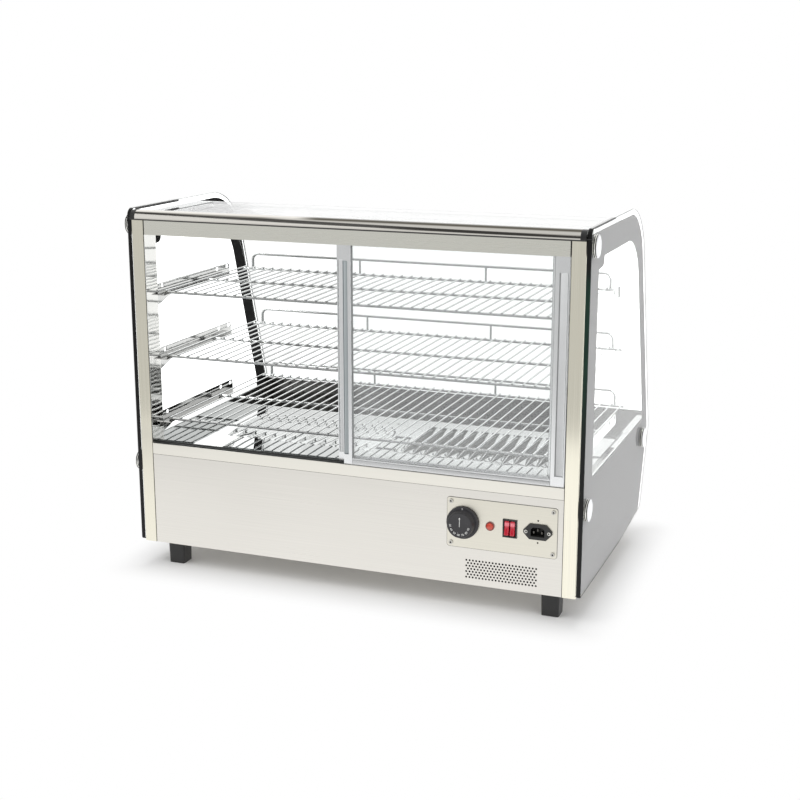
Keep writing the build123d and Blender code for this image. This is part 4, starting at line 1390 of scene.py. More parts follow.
class Cabinet:
    """Steel body: base, posts, header, rail, feet and sill, shown as they were built."""

    def build(self) -> None:
        """Give the parts their finishes."""
        paint(BASE_STEEL, "base_pan", "rear_panel")
        paint(BODY_STEEL, "base_side_left", "base_side_right")
        paint(SILL_STEEL, "sill")
        paint(POST_STEEL, "post_left", "post_right")
        paint(HEADER_STEEL, "header")
        paint(TRACK_STEEL, "door_track")
        middle, half = face_of("control_plate")
        paint(PlateSteel("plate_steel", middle=middle, half=half), "control_plate")
        paint(RAIL_STEEL, "top_rail")
        paint(BLACK, "rail_cap_left", "rail_cap_right")
        paint(FOOT_BLACK, "foot_rear_left", "foot_rear_right", "foot_front_left", "foot_front_right")
        for floor in ("upper", "middle", "lower"):
            paint(BRACKET_STEEL, f"bracket_{floor}_left", f"bracket_{floor}_right")


@dataclass
class Glazing:
    """Side panes with their borders, the bent pane and the chromed knobs."""

    case: Case
    arris: float = 0.0013
    print_sink: float = 0.00004
    line_widths: Mapping[str, float] = field(default_factory=lambda: {"left": 0.0032, "right": 0.0012})
    line_span: Pair = (0.016, 0.172)
    line_lift: float = 0.00005
    knob_radius: float = 0.019
    knob_thick: float = 0.0075
    knob_neck: Pair = (-0.008, 0.004)
    knob_soft: float = 0.0003
    knob_groove: float = 0.0011
    knob_border: float = 0.003
    knob_sides: int = 64
    knob_places: tuple[Pair, ...] = ((0.021, 0.640), (0.021, 0.200), (0.470, 0.210))

    def build(self) -> None:
        """Make the panes and knobs and finish the prints."""
        for side, hand in ((-1.0, "left"), (1.0, "right")):
            self.pane(side, hand)
        paint(PRINT, "side_print_left", "side_print_right")
        paint(BAND, "front_print")
        paint(BENT_GLASS, "bent_glass")
        self.knobs()

    def pane(self, side: float, hand: str) -> None:
        """Make one side pane with a small bevel round its edge, and a black strip along its top as a painted
        dark reflection.

        Args:
            side: -1 for the left and 1 for the right.
            hand: Name of the side.
        """
        case = self.case

        def lift(flat: np.ndarray, height: float) -> np.ndarray:
            """Put depths and heights at a distance to the side."""
            return np.column_stack([np.full(len(flat), side * height), flat[:, 0] + case.rear, flat[:, 1]])

        inner = case.glass_inner - self.print_sink
        stations = [
            (inner, self.arris),
            (inner + self.arris, 0.0),
            (case.glass_outer - self.arris, 0.0),
            (case.glass_outer, self.arris),
        ]
        made = plate(case.pane_outline(), stations, lift)
        # Painted reflection: a black strip on the face along the top stands for the dark line at the arris.
        face = self.line_lift + (-inner if side < 0.0 else case.glass_outer)
        top = case.top - self.arris
        ends, heights = np.meshgrid(case.rear + np.array(self.line_span), [top, top - self.line_widths[hand]])
        line = grid(np.stack([np.full((2, 2), face), ends, heights], axis=-1))
        made = Surface.join([made, line.marked(2)])
        piece = made.build(f"pane_{hand}", [SIDE_GLASS, GLASS_EDGE, BLACK], crease=25.0)
        install(piece, "case", "side_glass", f"side_glass_{hand}")

    def knobs(self) -> None:
        """Make the six knobs with their grooved rims and slightly domed faces.

        The profile goes up the neck, over two grooves of the rim and in over the face, and is turned
        round the knob's axis.
        """
        radius, thick, soft = self.knob_radius, self.knob_thick, self.knob_soft
        band = thick / 5.0
        groove = radius - self.knob_groove
        border = radius - self.knob_border
        back, neck = self.knob_neck
        rim = [(back, neck), (0.0, neck), (0.0, radius - 2.0 * soft), (0.0005, radius - 0.0001)]
        for start in (band, 3.0 * band):
            rim += [
                (start - soft, radius),
                (start, radius - soft),
                (start + soft, groove),
                (start + band - soft, groove),
                (start + band, radius - soft),
                (start + band + soft, radius),
            ]
        rim += [(thick - 0.0012, radius - 0.0002), (thick - 0.0005, radius - 0.0012), (thick - soft, border)]
        face = [(thick - soft * share**2, share * border) for share in (0.7, 0.4, 0.12)]
        profile = np.array(rim + face)
        reach = profile[:, 1]
        hollow = np.maximum(reach[:-1], reach[1:]) < radius - 0.0002
        # Painted light: the rim takes a brighter chrome than the face, and the grooves are painted near-black
        # as shade.
        marks = np.where(profile[:-1, 0] > thick - 0.0013, 0, np.where(hollow, 2, 1))
        knobs = []
        for side in (-1.0, 1.0):
            for y, z in self.knob_places:
                centre = (side * self.case.glass_outer, self.case.rear + y, z)
                knob = revolve(profile, centre, Axis.X, self.knob_sides, side)
                knob.quad_marks = np.repeat(marks, self.knob_sides)
                knobs.append(knob)
        piece = Surface.join(knobs).build("chromed_knobs", [CHROME, RIM_CHROME, GROOVE_SHADE], crease=50.0)
        install(piece, "case", "chrome", "glass_knobs")


@dataclass
class Doors:
    """Sliding doors: aluminium frames with hollow finger pulls round their panes."""

    outer_stile: float = 0.024
    meeting_stile: float = 0.0155
    foot_rail: float = 0.021
    head_rail: float = 0.011
    edge: float = 0.0007
    pull_foot: float = 0.028
    pull_head: float = 0.038
    pull_depth: float = 0.0032
    pull_gap: float = 0.0001
    run_out: float = 0.0015
    joint: float = 0.0003
    step: float = 0.0008
    lip: float = 0.0016
    core: float = 0.0024
    core_reach: float = 0.002
    glass: float = 0.004
    bead: float = 0.0012
    bead_gap: float = 0.0004

    def build(self) -> None:
        """Make both frames and finish the panes and glides."""
        for hand in ("left", "right"):
            self.frame(hand)
            paint(DOOR_GLASS, f"{hand}_door_glass")
            paint(NYLON, f"{hand}_door_glides")

    def frame(self, hand: str) -> None:
        """Make one frame.

        Args:
            hand: Name of the door.
        """
        low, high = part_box(f"{hand}_door_frame")
        widths = (self.outer_stile, self.meeting_stile)
        first, last = widths if hand == "left" else widths[::-1]
        inner = (low.x + first, high.x - last)
        pane = (low.z + self.foot_rail, high.z - self.head_rail)
        middle = (low.y + high.y) / 2.0
        parts = [
            self.stile(low.x, inner[0], low, high, first > last),
            self.stile(inner[1], high.x, low, high, last > first),
            self.rail(inner, low.z, pane[0], low.y, high.y, 1.0),
            self.rail(inner, high.z, pane[1], low.y, high.y, -1.0),
        ]
        ends = (inner[0] - self.core_reach, inner[1] + self.core_reach)
        for z in (low.z + self.foot_rail / 2.0, high.z - self.head_rail / 2.0):
            start, stop = ((x, middle, z) for x in ends)
            parts.append(rod(start, stop, self.core, (0.0, 1.0, 0.0), 8).marked(1))
        for side in (-1.0, 1.0):
            face = middle + side * (self.glass / 2.0 + self.bead_gap)
            parts += [self.bead_bar(x, x, pane[0], pane[1], face) for x in inner]
            parts.append(self.bead_bar(inner[0], inner[1], pane[1], pane[1], face))
            parts.append(self.bead_bar(inner[0], inner[1], pane[0], pane[0], face).marked(0))
        piece = Surface.join(parts).build(f"{hand}_door_profile", [ALUMINIUM, SEAL, PULL_SHADE], crease=32.0)
        install(piece, f"{hand}_door", "door_aluminium", f"{hand}_door_frame")

    def stile(self, x0: float, x1: float, low: Vector, high: Vector, wide: bool) -> Surface:
        """Make a stile with its finger pull.

        Its section, a face with a hollow and a back with soft edges, is carried upwards. The hollow's
        depth follows a quarter of a sine at both ends of the pull.

        Args:
            x0: Left edge.
            x1: Right edge.
            low: Lowest corner of the door.
            high: Highest corner of the door.
            wide: Whether it is the wide outer stile.

        Returns:
            The stile.
        """
        if wide:
            spans = np.array([2.0, 2.6, 3.6, 5.0, 8.0, 12.0, 15.6, 16.4, 17.0]) * MM
            depths = np.array([0.0, 0.35, 0.62, 0.75, 0.86, 0.95, 1.0, 0.6, 0.0])
        else:
            spans = np.array([1.2, 1.5, 2.2, 3.4, 5.2, 7.0, 8.2, 8.9, 9.2]) * MM
            depths = np.array([0.0, 0.45, 0.75, 0.95, 1.0, 0.95, 0.75, 0.45, 0.0])
        on_left = x0 - low.x < high.x - x1
        if on_left:
            hollow_x = x0 + spans
        else:
            hollow_x, depths = (x1 - spans)[::-1], depths[::-1]
        soft = self.edge * np.array([1.0, 0.3, 0.0])
        ease = soft[::-1]
        face_x = np.concatenate([x0 + ease, hollow_x, x1 - soft])
        face_in = np.concatenate([soft, np.zeros(len(hollow_x)), ease])
        sink = np.concatenate([np.zeros(3), depths, np.zeros(3)]) * self.pull_depth
        back_x = np.concatenate([x1 - ease, x0 + soft])
        back_in = np.concatenate([soft, ease])
        foot, head = low.z + self.pull_foot, high.z - self.pull_head
        ramp = np.linspace(0.0, 1.0, 9)
        below, above = [low.z, foot - self.pull_gap], [head + self.pull_gap, high.z]
        run = self.run_out * ramp
        heights = np.concatenate([below, foot + run, head - run[::-1], above])
        wave = np.sin(ramp * math.pi / 2.0)
        share = np.concatenate([[0.0, 0.0], wave, wave[::-1], [0.0, 0.0]])
        face_y = low.y + face_in + share[:, None] * sink
        back_y = np.tile(high.y - back_in, (len(share), 1))
        y = np.concatenate([face_y, back_y], axis=1)
        x = np.broadcast_to(np.concatenate([face_x, back_x]), y.shape)
        points = np.stack([x, y, np.broadcast_to(heights[:, None], y.shape)], axis=-1)
        made = grid(points, wrap=True)
        # Painted shade in the pulls: the steep wall of the outer stile's hollow takes the dark seal colour,
        # and the meeting stile's hollow the darker pull colour.
        hollow = np.zeros((len(share) - 1, y.shape[1]), int)
        if wide:
            hollow[2:-2, slice(9, 11) if on_left else slice(3, 5)] = 1
        else:
            hollow[2:-2, 3:11] = 2
        made.quad_marks = hollow.reshape(-1)
        return close_ends(made, *y.shape)

    def rail(
        self, inner: Pair, outside: float, inside: float, front: float, back: float, sense: float
    ) -> Surface:
        """Make a rail between the stiles, with a stepped lip at the glass.

        Its closed section in depth and height is carried from one stile to the other.

        Args:
            inner: Inner edges of the stiles.
            outside: Height of its outer edge.
            inside: Height of its edge at the glass.
            front: Depth of its face.
            back: Depth of its back.
            sense: 1 for the foot rail and -1 for the head rail.

        Returns:
            The rail.
        """
        edge, step, lip = self.edge, self.step, self.lip
        soft = 0.3 * edge
        section = np.array(
            [
                (front + edge, outside),
                (front + soft, outside + sense * soft),
                (front, outside + sense * edge),
                (front, inside - sense * (lip + edge)),
                (front + soft, inside - sense * (lip + soft)),
                (front + edge, inside - sense * lip),
                (front + step, inside - sense * lip),
                (front + step, inside - sense * edge),
                (front + step + edge, inside),
                (back - step - edge, inside),
                (back - step, inside - sense * edge),
                (back - step, inside - sense * lip),
                (back - edge, inside - sense * lip),
                (back, inside - sense * (lip + edge)),
                (back, outside + sense * edge),
                (back - edge, outside),
            ]
        )
        ends = (inner[0] + self.joint, inner[1] - self.joint)
        points = np.stack([np.column_stack([np.full(len(section), x), section]) for x in ends])
        return close_ends(grid(points[:, ::-1] if sense > 0.0 else points, wrap=True), 2, len(section))

    def bead_bar(self, x0: float, x1: float, z0: float, z1: float, y: float) -> Surface:
        """Make one bar of the seal round the pane, between two points at the depth y."""
        return rod((x0, y, z0), (x1, y, z1), self.bead, (0.0, 1.0, 0.0), 8).marked(1)


@dataclass
class Shelving:
    """Wire shelves with welded crossings and a guard rail towards the customer."""

    case: Case
    heights: Mapping[str, float] = field(
        default_factory=lambda: {"lower": 0.277, "middle": 0.3965, "upper": 0.516}
    )
    wire_radius: float = 0.0015
    rod_radius: float = 0.0025
    pitch: float = 0.020
    columns: int = 39
    rod_half: float = 0.385
    rear_rod: float = 0.056
    guard_half: float = 0.365
    guard_height: float = 0.026
    guard_round: float = 0.012
    guard_drop: float = 0.001
    guard_weld: float = 0.0008
    upright: float = 0.130
    upright_radius: float = 0.002
    sink: float = 0.0006
    weld_swell: float = 0.16
    weld_reach: float = 0.002
    weld_steps: tuple[float, ...] = (-0.0045, -0.0025, -0.001, 0.0, 0.001, 0.0025, 0.0045)
    end_steps: tuple[float, ...] = (0.0, 0.0004, 0.0012)
    end_bounds: Pair = (0.0002, 0.0008)
    end_widths: tuple[float, ...] = (0.6, 0.9, 1.0)

    def build(self) -> None:
        """Make the three shelves."""
        for floor, height in self.heights.items():
            self.shelf(floor, height)

    def shelf(self, floor: str, height: float) -> None:
        """Make one shelf.

        Args:
            floor: Name of the shelf.
            height: Height of the wires' middle.
        """
        low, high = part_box(f"shelf_{floor}")
        guard_y = high.y - self.rod_radius
        front_y = guard_y - 2.0 * self.rod_radius + self.guard_weld
        rear_y = self.case.rear + self.rear_rod
        rods = (rear_y, (rear_y + front_y) / 2.0, front_y)
        rod_z = height - self.wire_radius - self.rod_radius + self.sink
        foot, top = rod_z - self.guard_drop, height + self.guard_height
        parts = [
            rod((-self.rod_half, y, rod_z), (self.rod_half, y, rod_z), self.rod_radius, (0.0, 0.0, 1.0), 14)
            for y in rods
        ]
        parts += [
            self.wire(x, low.y, guard_y, height, rods)
            for x in (np.arange(self.columns) - (self.columns - 1) / 2.0) * self.pitch
        ]
        parts.append(self.guard(guard_y, foot, top))
        parts += [
            rod((x, guard_y, foot), (x, guard_y, top), self.upright_radius, (0.0, 1.0, 0.0), 12)
            for x in (-self.upright, self.upright)
        ]
        piece = Surface.join(parts).build(f"wire_shelf_{floor}", [WIRE], crease=60.0)
        install(piece, "case", "shelf_wire", f"shelf_{floor}")

    def wire(self, x: float, start: float, stop: float, z: float, crossings: Sequence[float]) -> Surface:
        """Make one wire, thicker where it is welded to the rods.

        Its radius grows by a bell curve of the distance to the nearest rod, and narrows in two steps at
        both ends.

        Args:
            x: Place of the wire across the shelf.
            start: Rear end.
            stop: Front end.
            z: Height of its middle.
            crossings: Depths of the rods.

        Returns:
            The wire.
        """
        near = np.add.outer(crossings, self.weld_steps).ravel()
        ends = np.array(self.end_steps)
        run = np.unique(np.concatenate([start + ends, near, stop - ends]))
        run = run[(run >= start) & (run <= stop)]
        gap = np.min(np.abs(run[:, None] - np.array(crossings)), axis=1)
        radius = self.wire_radius * (1.0 + self.weld_swell * np.exp(-((gap / self.weld_reach) ** 2)))
        inset = np.minimum(run - start, stop - run)
        radius *= np.array(self.end_widths)[np.digitize(inset, self.end_bounds)]
        path = np.column_stack([np.full(len(run), x), run, np.full(len(run), z)])
        return tube(path, radius, (1.0, 0.0, 0.0), 10)

    def guard(self, y: float, foot: float, top: float) -> Surface:
        """Make the guard rail: a straight run with a quarter circle and an upright at each end.

        Args:
            y: Depth of the rail.
            foot: Height of its ends.
            top: Height of the rail.

        Returns:
            The rail.
        """
        bend = np.linspace(0.0, math.pi / 2.0, 10)
        turn = self.guard_round
        corner = self.guard_half - turn
        left = np.column_stack([-corner - turn * np.cos(bend), top - turn + turn * np.sin(bend)])
        right = np.column_stack([corner + turn * np.sin(bend), top - turn + turn * np.cos(bend)])
        flat = np.concatenate([[(-self.guard_half, foot)], left, right, [(self.guard_half, foot)]])
        path = np.column_stack([flat[:, 0], np.full(len(flat), y), flat[:, 1]])
        return tube(path, self.rod_radius, (0.0, 1.0, 0.0), 14)


@dataclass
class Deck:
    """Polished floor with two fields of pressed, leaf-shaped louvres."""

    case: Case
    count: int = 14
    pitch: float = 0.0215
    first: float = 0.028
    width: float = 0.012
    height: float = 0.007
    start: float = 0.160
    length: float = 0.200
    sheet: float = 0.001
    crease: float = 40.0
    notch: float = 0.0423
    notch_gap: float = 0.0003
    leaf_power: float = 0.7
    hood_power: float = 0.8
    along: int = 36
    across: int = 8

    def build(self) -> None:
        """Make the deck and finish its walls."""
        low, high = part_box("deck")
        rear = self.case.rear
        edge = self.first - self.pitch + self.width
        far = edge + self.count * self.pitch
        near_y, far_y = rear + self.start, rear + self.start + self.length
        notch_x = self.case.post_inner - self.notch_gap
        notch_y = rear + self.notch
        parts = [
            self.flat(-notch_x, notch_x, low.y, notch_y),
            self.flat(low.x, high.x, notch_y, near_y),
            self.flat(low.x, high.x, far_y, high.y),
            self.flat(-edge, edge, near_y, far_y),
        ]
        for side in (-1.0, 1.0):
            parts.append(self.flat(side * far, side * high.x, near_y, far_y))
            parts += [self.louvre(side, edge + index * self.pitch, near_y) for index in range(self.count)]
        piece = Surface.join(parts).build("louvred_deck", [DECK_STEEL], self.crease)
        shell = piece.modifiers.new("sheet", "SOLIDIFY")
        shell.thickness = self.sheet
        shell.offset = -1.0
        corners = piece.modifiers.new("corners", "EDGE_SPLIT")
        corners.split_angle = math.radians(self.crease)
        install(piece, "case", "mirror_steel", "deck")
        paint(DECK_STEEL, "deck_wall_left", "deck_wall_right")

    def flat(self, x0: float, x1: float, y0: float, y1: float) -> Surface:
        """Make a flat piece of the deck.

        Args:
            x0: One side.
            x1: Other side.
            y0: Rear edge.
            y1: Front edge.

        Returns:
            The piece, facing up.
        """
        x0, x1 = min(x0, x1), max(x0, x1)
        corner = np.array([[[x0, y0], [x1, y0]], [[x0, y1], [x1, y1]]])
        return grid(np.concatenate([corner, np.full((2, 2, 1), self.case.deck_top)], axis=2))

    def louvre(self, side: float, begin: float, near_y: float) -> Surface:
        """Make one louvre with the flat strip before it.

        Along the leaf, its width and height follow one less the square of the distance from its middle,
        to a power. Across it, the height follows half a cosine wave to another power.

        Args:
            side: -1 for the left field and 1 for the right one.
            begin: Where its cell starts, counted from the middle.
            near_y: Rear end of the field.

        Returns:
            The cell. The lifted edge is open towards the outside.
        """
        share = np.linspace(0.0, 1.0, self.along + 1)
        swell = np.clip(1.0 - (2.0 * share - 1.0) ** 2, 0.0, 1.0) ** self.leaf_power
        stop = begin + self.pitch
        hinge = stop - self.width * swell
        lift = np.linspace(0.0, 1.0, self.across + 1)
        hood = hinge[:, None] + (stop - hinge)[:, None] * lift
        x = np.concatenate([np.full((len(share), 1), begin), hood], axis=1)
        rise = self.height * swell[:, None] * (0.5 - 0.5 * np.cos(math.pi * lift)) ** self.hood_power
        z = self.case.deck_top + np.concatenate([np.zeros((len(share), 1)), rise], axis=1)
        y = np.broadcast_to((near_y + self.length * share)[:, None], x.shape)
        points = np.stack([side * x, y, z], axis=-1)
        return grid(points if side > 0.0 else points[:, ::-1])


@dataclass
class Controls:
    """Control plate with its dial, lamp, switch and mains inlet."""

    dial_x: float = 0.214
    dial_z: float = 0.160
    skirt_radius: float = 0.0285
    skirt_thick: float = 0.0047
    grip_radius: float = 0.0235
    cap_sink: float = 0.0004
    dial_sides: int = 96
    scale: tuple[str, ...] = ("30", "40", "50", "60", "70", "80", "90")
    scale_turn: Pair = (184.0, 344.0)
    scale_radius: float = 0.0169
    digit: float = 0.005
    bold: float = 0.00003
    ink: float = 0.00006
    crown: float = 0.0085
    waist: float = 0.0065
    root: float = 0.006
    rounds: tuple[float, ...] = (0.0025, 0.025, 0.0016, 0.0004, 0.001, 0.001, 0.0004)
    tilt: float = math.radians(9.0)
    soft: float = 0.0016
    gap: float = 0.0009

    def build(self) -> None:
        """Make the dial and finish the other parts."""
        self.dial()
        paint(LENS, "pilot_lamp")
        paint(BLACK, "rocker_frame", "mains_inlet")
        for use in ("heat", "light"):
            self.rocker(use)
        paint(BRASS, "inlet_pins")
        for screws in ("control_screws", "inlet_screws"):
            middle, half = face_of(screws)
            paint(ScrewSteel(f"{screws}_steel", middle=middle, half=half), screws)

    def rocker(self, use: str) -> None:
        """Make one rocker with rounded ends and a hollow face.

        Its side outline, tilted about the pivot, is a plate whose edges are eased by a quarter circle.

        Args:
            use: What it switches.
        """
        low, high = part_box(f"{use}_rocker")
        lean, rise = math.cos(self.tilt), math.sin(self.tilt)
        half = (high.z - low.z - self.crown * rise) / (2.0 * lean)
        pivot_y = low.y + self.crown * lean + half * rise
        pivot_z = low.z + half * lean
        corners = [
            (-self.crown, half),
            (-self.waist, 0.0),
            (-self.crown, -half),
            (0.0, -half),
            (self.root, -half / 2.0),
            (self.root, half / 2.0),
            (0.0, half),
        ]
        outline = rounded(corners, self.rounds, 12)

        def lift(flat: np.ndarray, x: float) -> np.ndarray:
            """Tilt the outline about the pivot and put it at a place across."""
            y = pivot_y + flat[:, 0] * lean + flat[:, 1] * rise
            z = pivot_z - flat[:, 0] * rise + flat[:, 1] * lean
            return np.column_stack([np.full(len(flat), x), y, z])

        edge = self.soft * np.array([0.0, 0.07, 0.29, 0.62, 1.0])
        inset = self.soft * np.array([1.0, 0.62, 0.29, 0.07, 0.0])
        places = np.concatenate([low.x + self.gap + edge, high.x - self.gap - edge[::-1]])
        red = RockerRed(f"{use}_red", middle=pivot_z, half=half)
        made = plate(outline, list(zip(places, np.concatenate([inset, inset[::-1]]))), lift)
        piece = made.build(f"{use}_key", [red, red], crease=40.0)
        install(piece, f"{use}_switch", "red_plastic", f"{use}_rocker")

    def dial(self) -> None:
        """Make the dial, a skirt and a cap turned round its axis, and its printed marks."""
        low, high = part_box("thermostat_knob")
        rear, face = high.y, low.y
        tall, skirt, grip = rear - face, self.skirt_radius, self.grip_radius
        profile = np.array(
            [
                (0.0, 0.0035),
                (0.0, skirt),
                (0.0036, skirt),
                (0.0044, skirt - 0.0006),
                (self.skirt_thick, skirt - 0.0016),
                (self.skirt_thick, grip + 0.0004),
                (0.0052, grip),
                (tall - 0.0016, grip - 0.0008),
                (tall - 0.0006, grip - 0.0014),
                (tall - 0.0002, grip - 0.0026),
                (tall - self.cap_sink, grip - 0.0034),
                (tall - self.cap_sink, 0.0005),
            ]
        )
        knob = revolve(profile, (self.dial_x, rear, self.dial_z), Axis.Y, self.dial_sides, -1.0)
        piece = knob.build("dial", [DIAL_BLACK], crease=40.0)
        install(piece, "thermostat_dial", "black_plastic", "thermostat_knob")
        marks = self.marks(face + self.cap_sink - self.ink, rear - self.skirt_thick - self.ink)
        install(marks.build("dial_marks", [WHITE_INK]), "thermostat_dial", "black_plastic")

    def marks(self, cap_y: float, skirt_y: float) -> Surface:
        """Make the printed scale, pointer and index of the dial.

        Args:
            cap_y: Depth of the print on the cap.
            skirt_y: Depth of the print on the skirt.

        Returns:
            The print.
        """
        angles = np.radians(np.linspace(*self.scale_turn, len(self.scale)))
        parts = [
            self.lettering(number, angle, self.scale_radius, cap_y)
            for number, angle in zip(self.scale, angles)
        ]
        parts.append(self.stroke(self.bar(0.0005, -0.0025, 0.0115), cap_y))
        parts.append(self.stroke([(-0.0017, 0.0112), (0.0017, 0.0112), (0.0, 0.0142)], cap_y))
        top = self.skirt_radius - 0.0017
        parts.append(self.stroke(self.bar(0.0006, top - 0.0027, top), skirt_y))
        return Surface.join(parts)

    @staticmethod
    def bar(half: float, foot: float, head: float) -> list[Pair]:
        """Give the corners of an upright bar from half its width and its two ends."""
        return [(-half, foot), (half, foot), (half, head), (-half, head)]

    def stroke(self, outline: Sequence[Pair], y: float) -> Surface:
        """Make a flat printed shape.

        Args:
            outline: Corners to the right of and above the middle of the dial.
            y: Depth of the print.

        Returns:
            The shape, facing the operator.
        """
        flat = np.array(outline)
        points = np.column_stack([self.dial_x + flat[:, 0], np.full(len(flat), y), self.dial_z + flat[:, 1]])
        return Surface(points, caps=[np.arange(len(points))], cap_marks=[0])

    def lettering(self, number: str, angle: float, radius: float, y: float) -> Surface:
        """Make a printed number that reads from the rim.

        Args:
            number: The digits.
            angle: Where it stands round the dial.
            radius: How far from the middle it stands.
            y: Depth of the print.

        Returns:
            The number, facing the operator.
        """
        curve = bpy.data.curves.new("number", "FONT")
        curve.body = number
        curve.size = self.digit
        curve.offset = self.bold
        curve.align_x = "CENTER"
        curve.align_y = "CENTER"
        curve.resolution_u = 3
        holder = bpy.data.objects.new("number", curve)
        mesh = bpy.data.meshes.new_from_object(holder)
        places = np.empty(3 * len(mesh.vertices))
        mesh.vertices.foreach_get("co", places)
        flat = places.reshape(-1, 3)[:, :2]
        faces = [np.array(face.vertices) for face in mesh.polygons]
        bpy.data.objects.remove(holder)
        bpy.data.curves.remove(curve)
        bpy.data.meshes.remove(mesh)
        away = np.array([math.cos(angle), math.sin(angle)])
        up = -away
        right = np.array([up[1], -up[0]])
        spot = radius * away + flat[:, :1] * right + flat[:, 1:] * up
        points = np.column_stack([self.dial_x + spot[:, 0], np.full(len(spot), y), self.dial_z + spot[:, 1]])
        return Surface(points, caps=faces, cap_marks=[0] * len(faces))


class Inside:
    """Heating, lighting and wiring parts, shown as they were built."""

    def build(self) -> None:
        """Give the parts their finishes."""
        paint(SHEATH, "heater_left", "heater_right")
        paint(STAND, "heater_stands")
        paint(CASE_PLASTIC, "thermostat_body")
        paint(SPINDLE, "thermostat_spindle")
        paint(COPPER, "thermostat_probe")
        paint(LAMP, "lamp_tube")
        paint(WHITE_PLASTIC, "lamp_holders", "terminal_block")


@dataclass(frozen=True)
class Softbox:
    """A large soft lamp."""

    name: str
    place: Point
    target: Point
    size: float
    power: float

    def build(self) -> None:
        """Add the lamp."""
        data = bpy.data.lights.new(self.name, "AREA")
        data.shape = "SQUARE"
        data.size = self.size
        data.energy = self.power
        lamp = bpy.data.objects.new(self.name, data)
        lamp.location = self.place
        aim = Vector(self.target) - Vector(self.place)
        lamp.rotation_euler = aim.to_track_quat("-Z", "Y").to_euler()
        lamp.visible_glossy = False
        bpy.context.collection.objects.link(lamp)


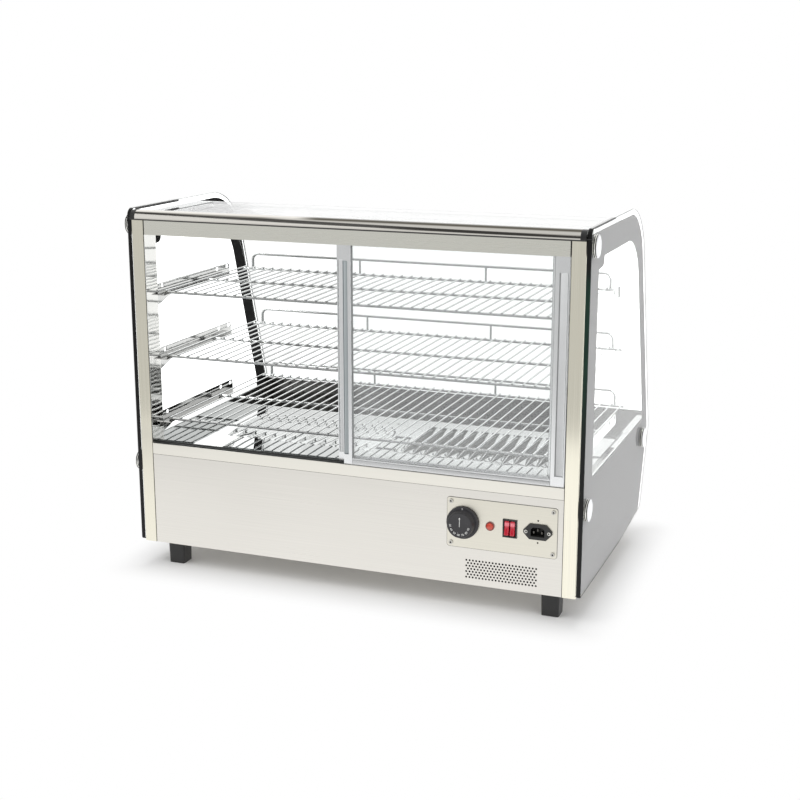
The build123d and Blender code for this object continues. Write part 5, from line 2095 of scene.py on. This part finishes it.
@dataclass
class Studio:
    """White floor, soft lamps, white surroundings and the camera of the photograph."""

    camera_place: Point = (0.9289, -2.4235, 0.9408)
    camera_down: float = 13.96
    camera_turn: float = 20.99
    lens: float = 63.19
    sensor: float = 36.0
    ambient: float = 0.5
    pane_gain: float = 0.05
    floor_half: float = 9.0
    floor_colour: Colour = (0.86, 0.86, 0.86)
    shadow_half: Pair = (0.42, 0.275)
    shadow_edge: Pair = (-0.03, 0.075)
    lamps: tuple[Softbox, ...] = (
        Softbox("key", (-2.0, -2.2, 2.9), (0.0, 0.0, 0.3), 2.2, 62.0),
        Softbox("fill", (2.4, -1.6, 2.2), (0.0, 0.0, 0.3), 2.0, 26.0),
        Softbox("top", (0.0, 0.6, 3.2), (0.0, 0.0, 0.2), 2.4, 40.0),
    )

    def build(self) -> None:
        """Add the floor, the lamps, the surroundings and the camera."""
        for lamp in self.lamps:
            lamp.build()
        self.floor()
        self.surroundings()
        data = bpy.data.cameras.new("camera")
        data.lens = self.lens
        data.sensor_width = self.sensor
        camera = bpy.data.objects.new("camera", data)
        camera.location = self.camera_place
        camera.rotation_euler = (math.radians(90.0 - self.camera_down), 0.0, math.radians(self.camera_turn))
        bpy.context.collection.objects.link(camera)
        bpy.context.scene.camera = camera
        bpy.context.scene.view_settings.view_transform = "Standard"

    def sight(self, nodes: Nodes) -> tuple[Value, Value]:
        """Tell the rays of the picture from the others.

        Args:
            nodes: The tree to work in.

        Returns:
            1 for rays that see the scene directly or through glass, a little more behind dusty panes,
            and 1 for reflected ones.
        """
        path = nodes.node("ShaderNodeLightPath")
        panes = Value(nodes, path.outputs["Transparent Depth"])
        direct = Value(nodes, path.outputs["Is Camera Ray"]) * (1.0 + self.pane_gain * panes)
        seen = direct + Value(nodes, path.outputs["Is Transmission Ray"])
        return seen, Value(nodes, path.outputs["Is Glossy Ray"])

    def floor(self) -> None:
        """Add a pale floor that turns plain white away from the case."""
        made = bpy.data.materials.new("floor")
        made.use_nodes = True
        self.floor_look(Nodes(made.node_tree))
        ends = self.floor_half * np.array([-1.0, 1.0])
        x, y = np.meshgrid(ends, ends)
        sheet = grid(np.stack([x, y, np.zeros((2, 2))], axis=-1))
        mesh = bpy.data.meshes.new("floor")
        mesh.from_pydata(sheet.points.tolist(), [], sheet.quads.tolist())
        mesh.materials.append(made)
        piece = bpy.data.objects.new("floor", mesh)
        bpy.context.collection.objects.link(piece)

    def floor_look(self, nodes: Nodes) -> None:
        """Shade the floor: lit near the case, white beyond, and darker in what polished steel reflects.

        Args:
            nodes: The empty tree.
        """
        x, y, z = nodes.place()
        seen, mirrored = self.sight(nodes)
        beside = abs(x) - self.shadow_half[0]
        before = abs(y) - self.shadow_half[1]
        outside = nodes.maths("MAXIMUM", beside, 0.0) ** 2.0 + nodes.maths("MAXIMUM", before, 0.0) ** 2.0
        within = nodes.maths("MINIMUM", nodes.maths("MAXIMUM", beside, before), 0.0)
        far = (outside**0.5 + within).rise(*self.shadow_edge)
        lit = nodes.shader("ShaderNodeBsdfDiffuse", Color=self.floor_colour)
        glow = nodes.shader("ShaderNodeEmission", Strength=0.03 * seen + 0.25 * mirrored)
        near = nodes.node("ShaderNodeAddShader", sockets={0: lit, 1: glow}).outputs[0]
        # Reflections show the floor darker on the operator's side, and a little darker at their left.
        dusk = (-y - 0.21 * x).rise(1.27, 1.47)
        left = (-x).rise(0.6, 1.0) * (-y).rise(0.75, 0.95) * (1.0 - dusk)
        bounce = 1.2 - 0.52 * dusk - 0.17 * left
        white = nodes.shader("ShaderNodeEmission", Strength=seen + mirrored * bounce)
        surface = nodes.mix(far * (seen + mirrored), near, white)
        nodes.node("ShaderNodeOutputMaterial", sockets={"Surface": surface})

    def surroundings(self) -> None:
        """Make the world white to the eye, with a dark gap between the lamps in reflections."""
        world = bpy.data.worlds.new("studio")
        bpy.context.scene.world = world
        world.use_nodes = True
        nodes = Nodes(world.node_tree)
        seen, mirrored = self.sight(nodes)
        side, ahead, up = nodes.parts("Generated")
        # The gap leans to the operator's left and narrows there.
        slant = abs(up + 2.25 * side + 0.366) * (1.0 + 3.0 * (-side).rise(0.42, 0.56))
        gap = (1.0 - slant).rise(0.66, 0.76) * (-ahead).rise(-0.12, 0.08) * up.rise(-0.05, 0.1)
        # The rest is dimmer behind the operator, overhead and low in front of them.
        behind = (-ahead).rise(0.0, 0.6)
        overhead = up.rise(0.6, 0.9)
        low = ahead.rise(0.3, 0.7) * up.band((0.15, 0.21), (0.26, 0.4))
        lowest = ahead.rise(0.3, 0.7) * (1.0 - up.rise(0.15, 0.21))
        dimming = 0.3 * behind + 0.25 * overhead + 0.22 * low + 0.12 * lowest
        sheen = (1.12 - dimming) * (1.0 - 0.88 * gap)
        level = seen + mirrored * sheen + (1.0 - seen - mirrored) * self.ambient
        shown = nodes.shader("ShaderNodeBackground", Color=WHITE, Strength=level)
        nodes.node("ShaderNodeOutputWorld", sockets={"Surface": shown})


NODES: dict[str, bpy.types.Object] = {}
MATERIALS: dict[Finish, bpy.types.Material] = {}


def main() -> None:
    """Build the scene."""
    logging.basicConfig(level=logging.INFO, format="%(name)s: %(message)s")
    for old in list(bpy.data.objects):
        bpy.data.objects.remove(old)
    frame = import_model()
    NODES.update(frame["nodes"])
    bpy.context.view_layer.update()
    case = Case.measure()
    Cabinet().build()
    Glazing(case).build()
    Doors().build()
    Shelving(case).build()
    Deck(case).build()
    Controls().build()
    Inside().build()
    Studio().build()


if __name__ == "__main__":
    main()
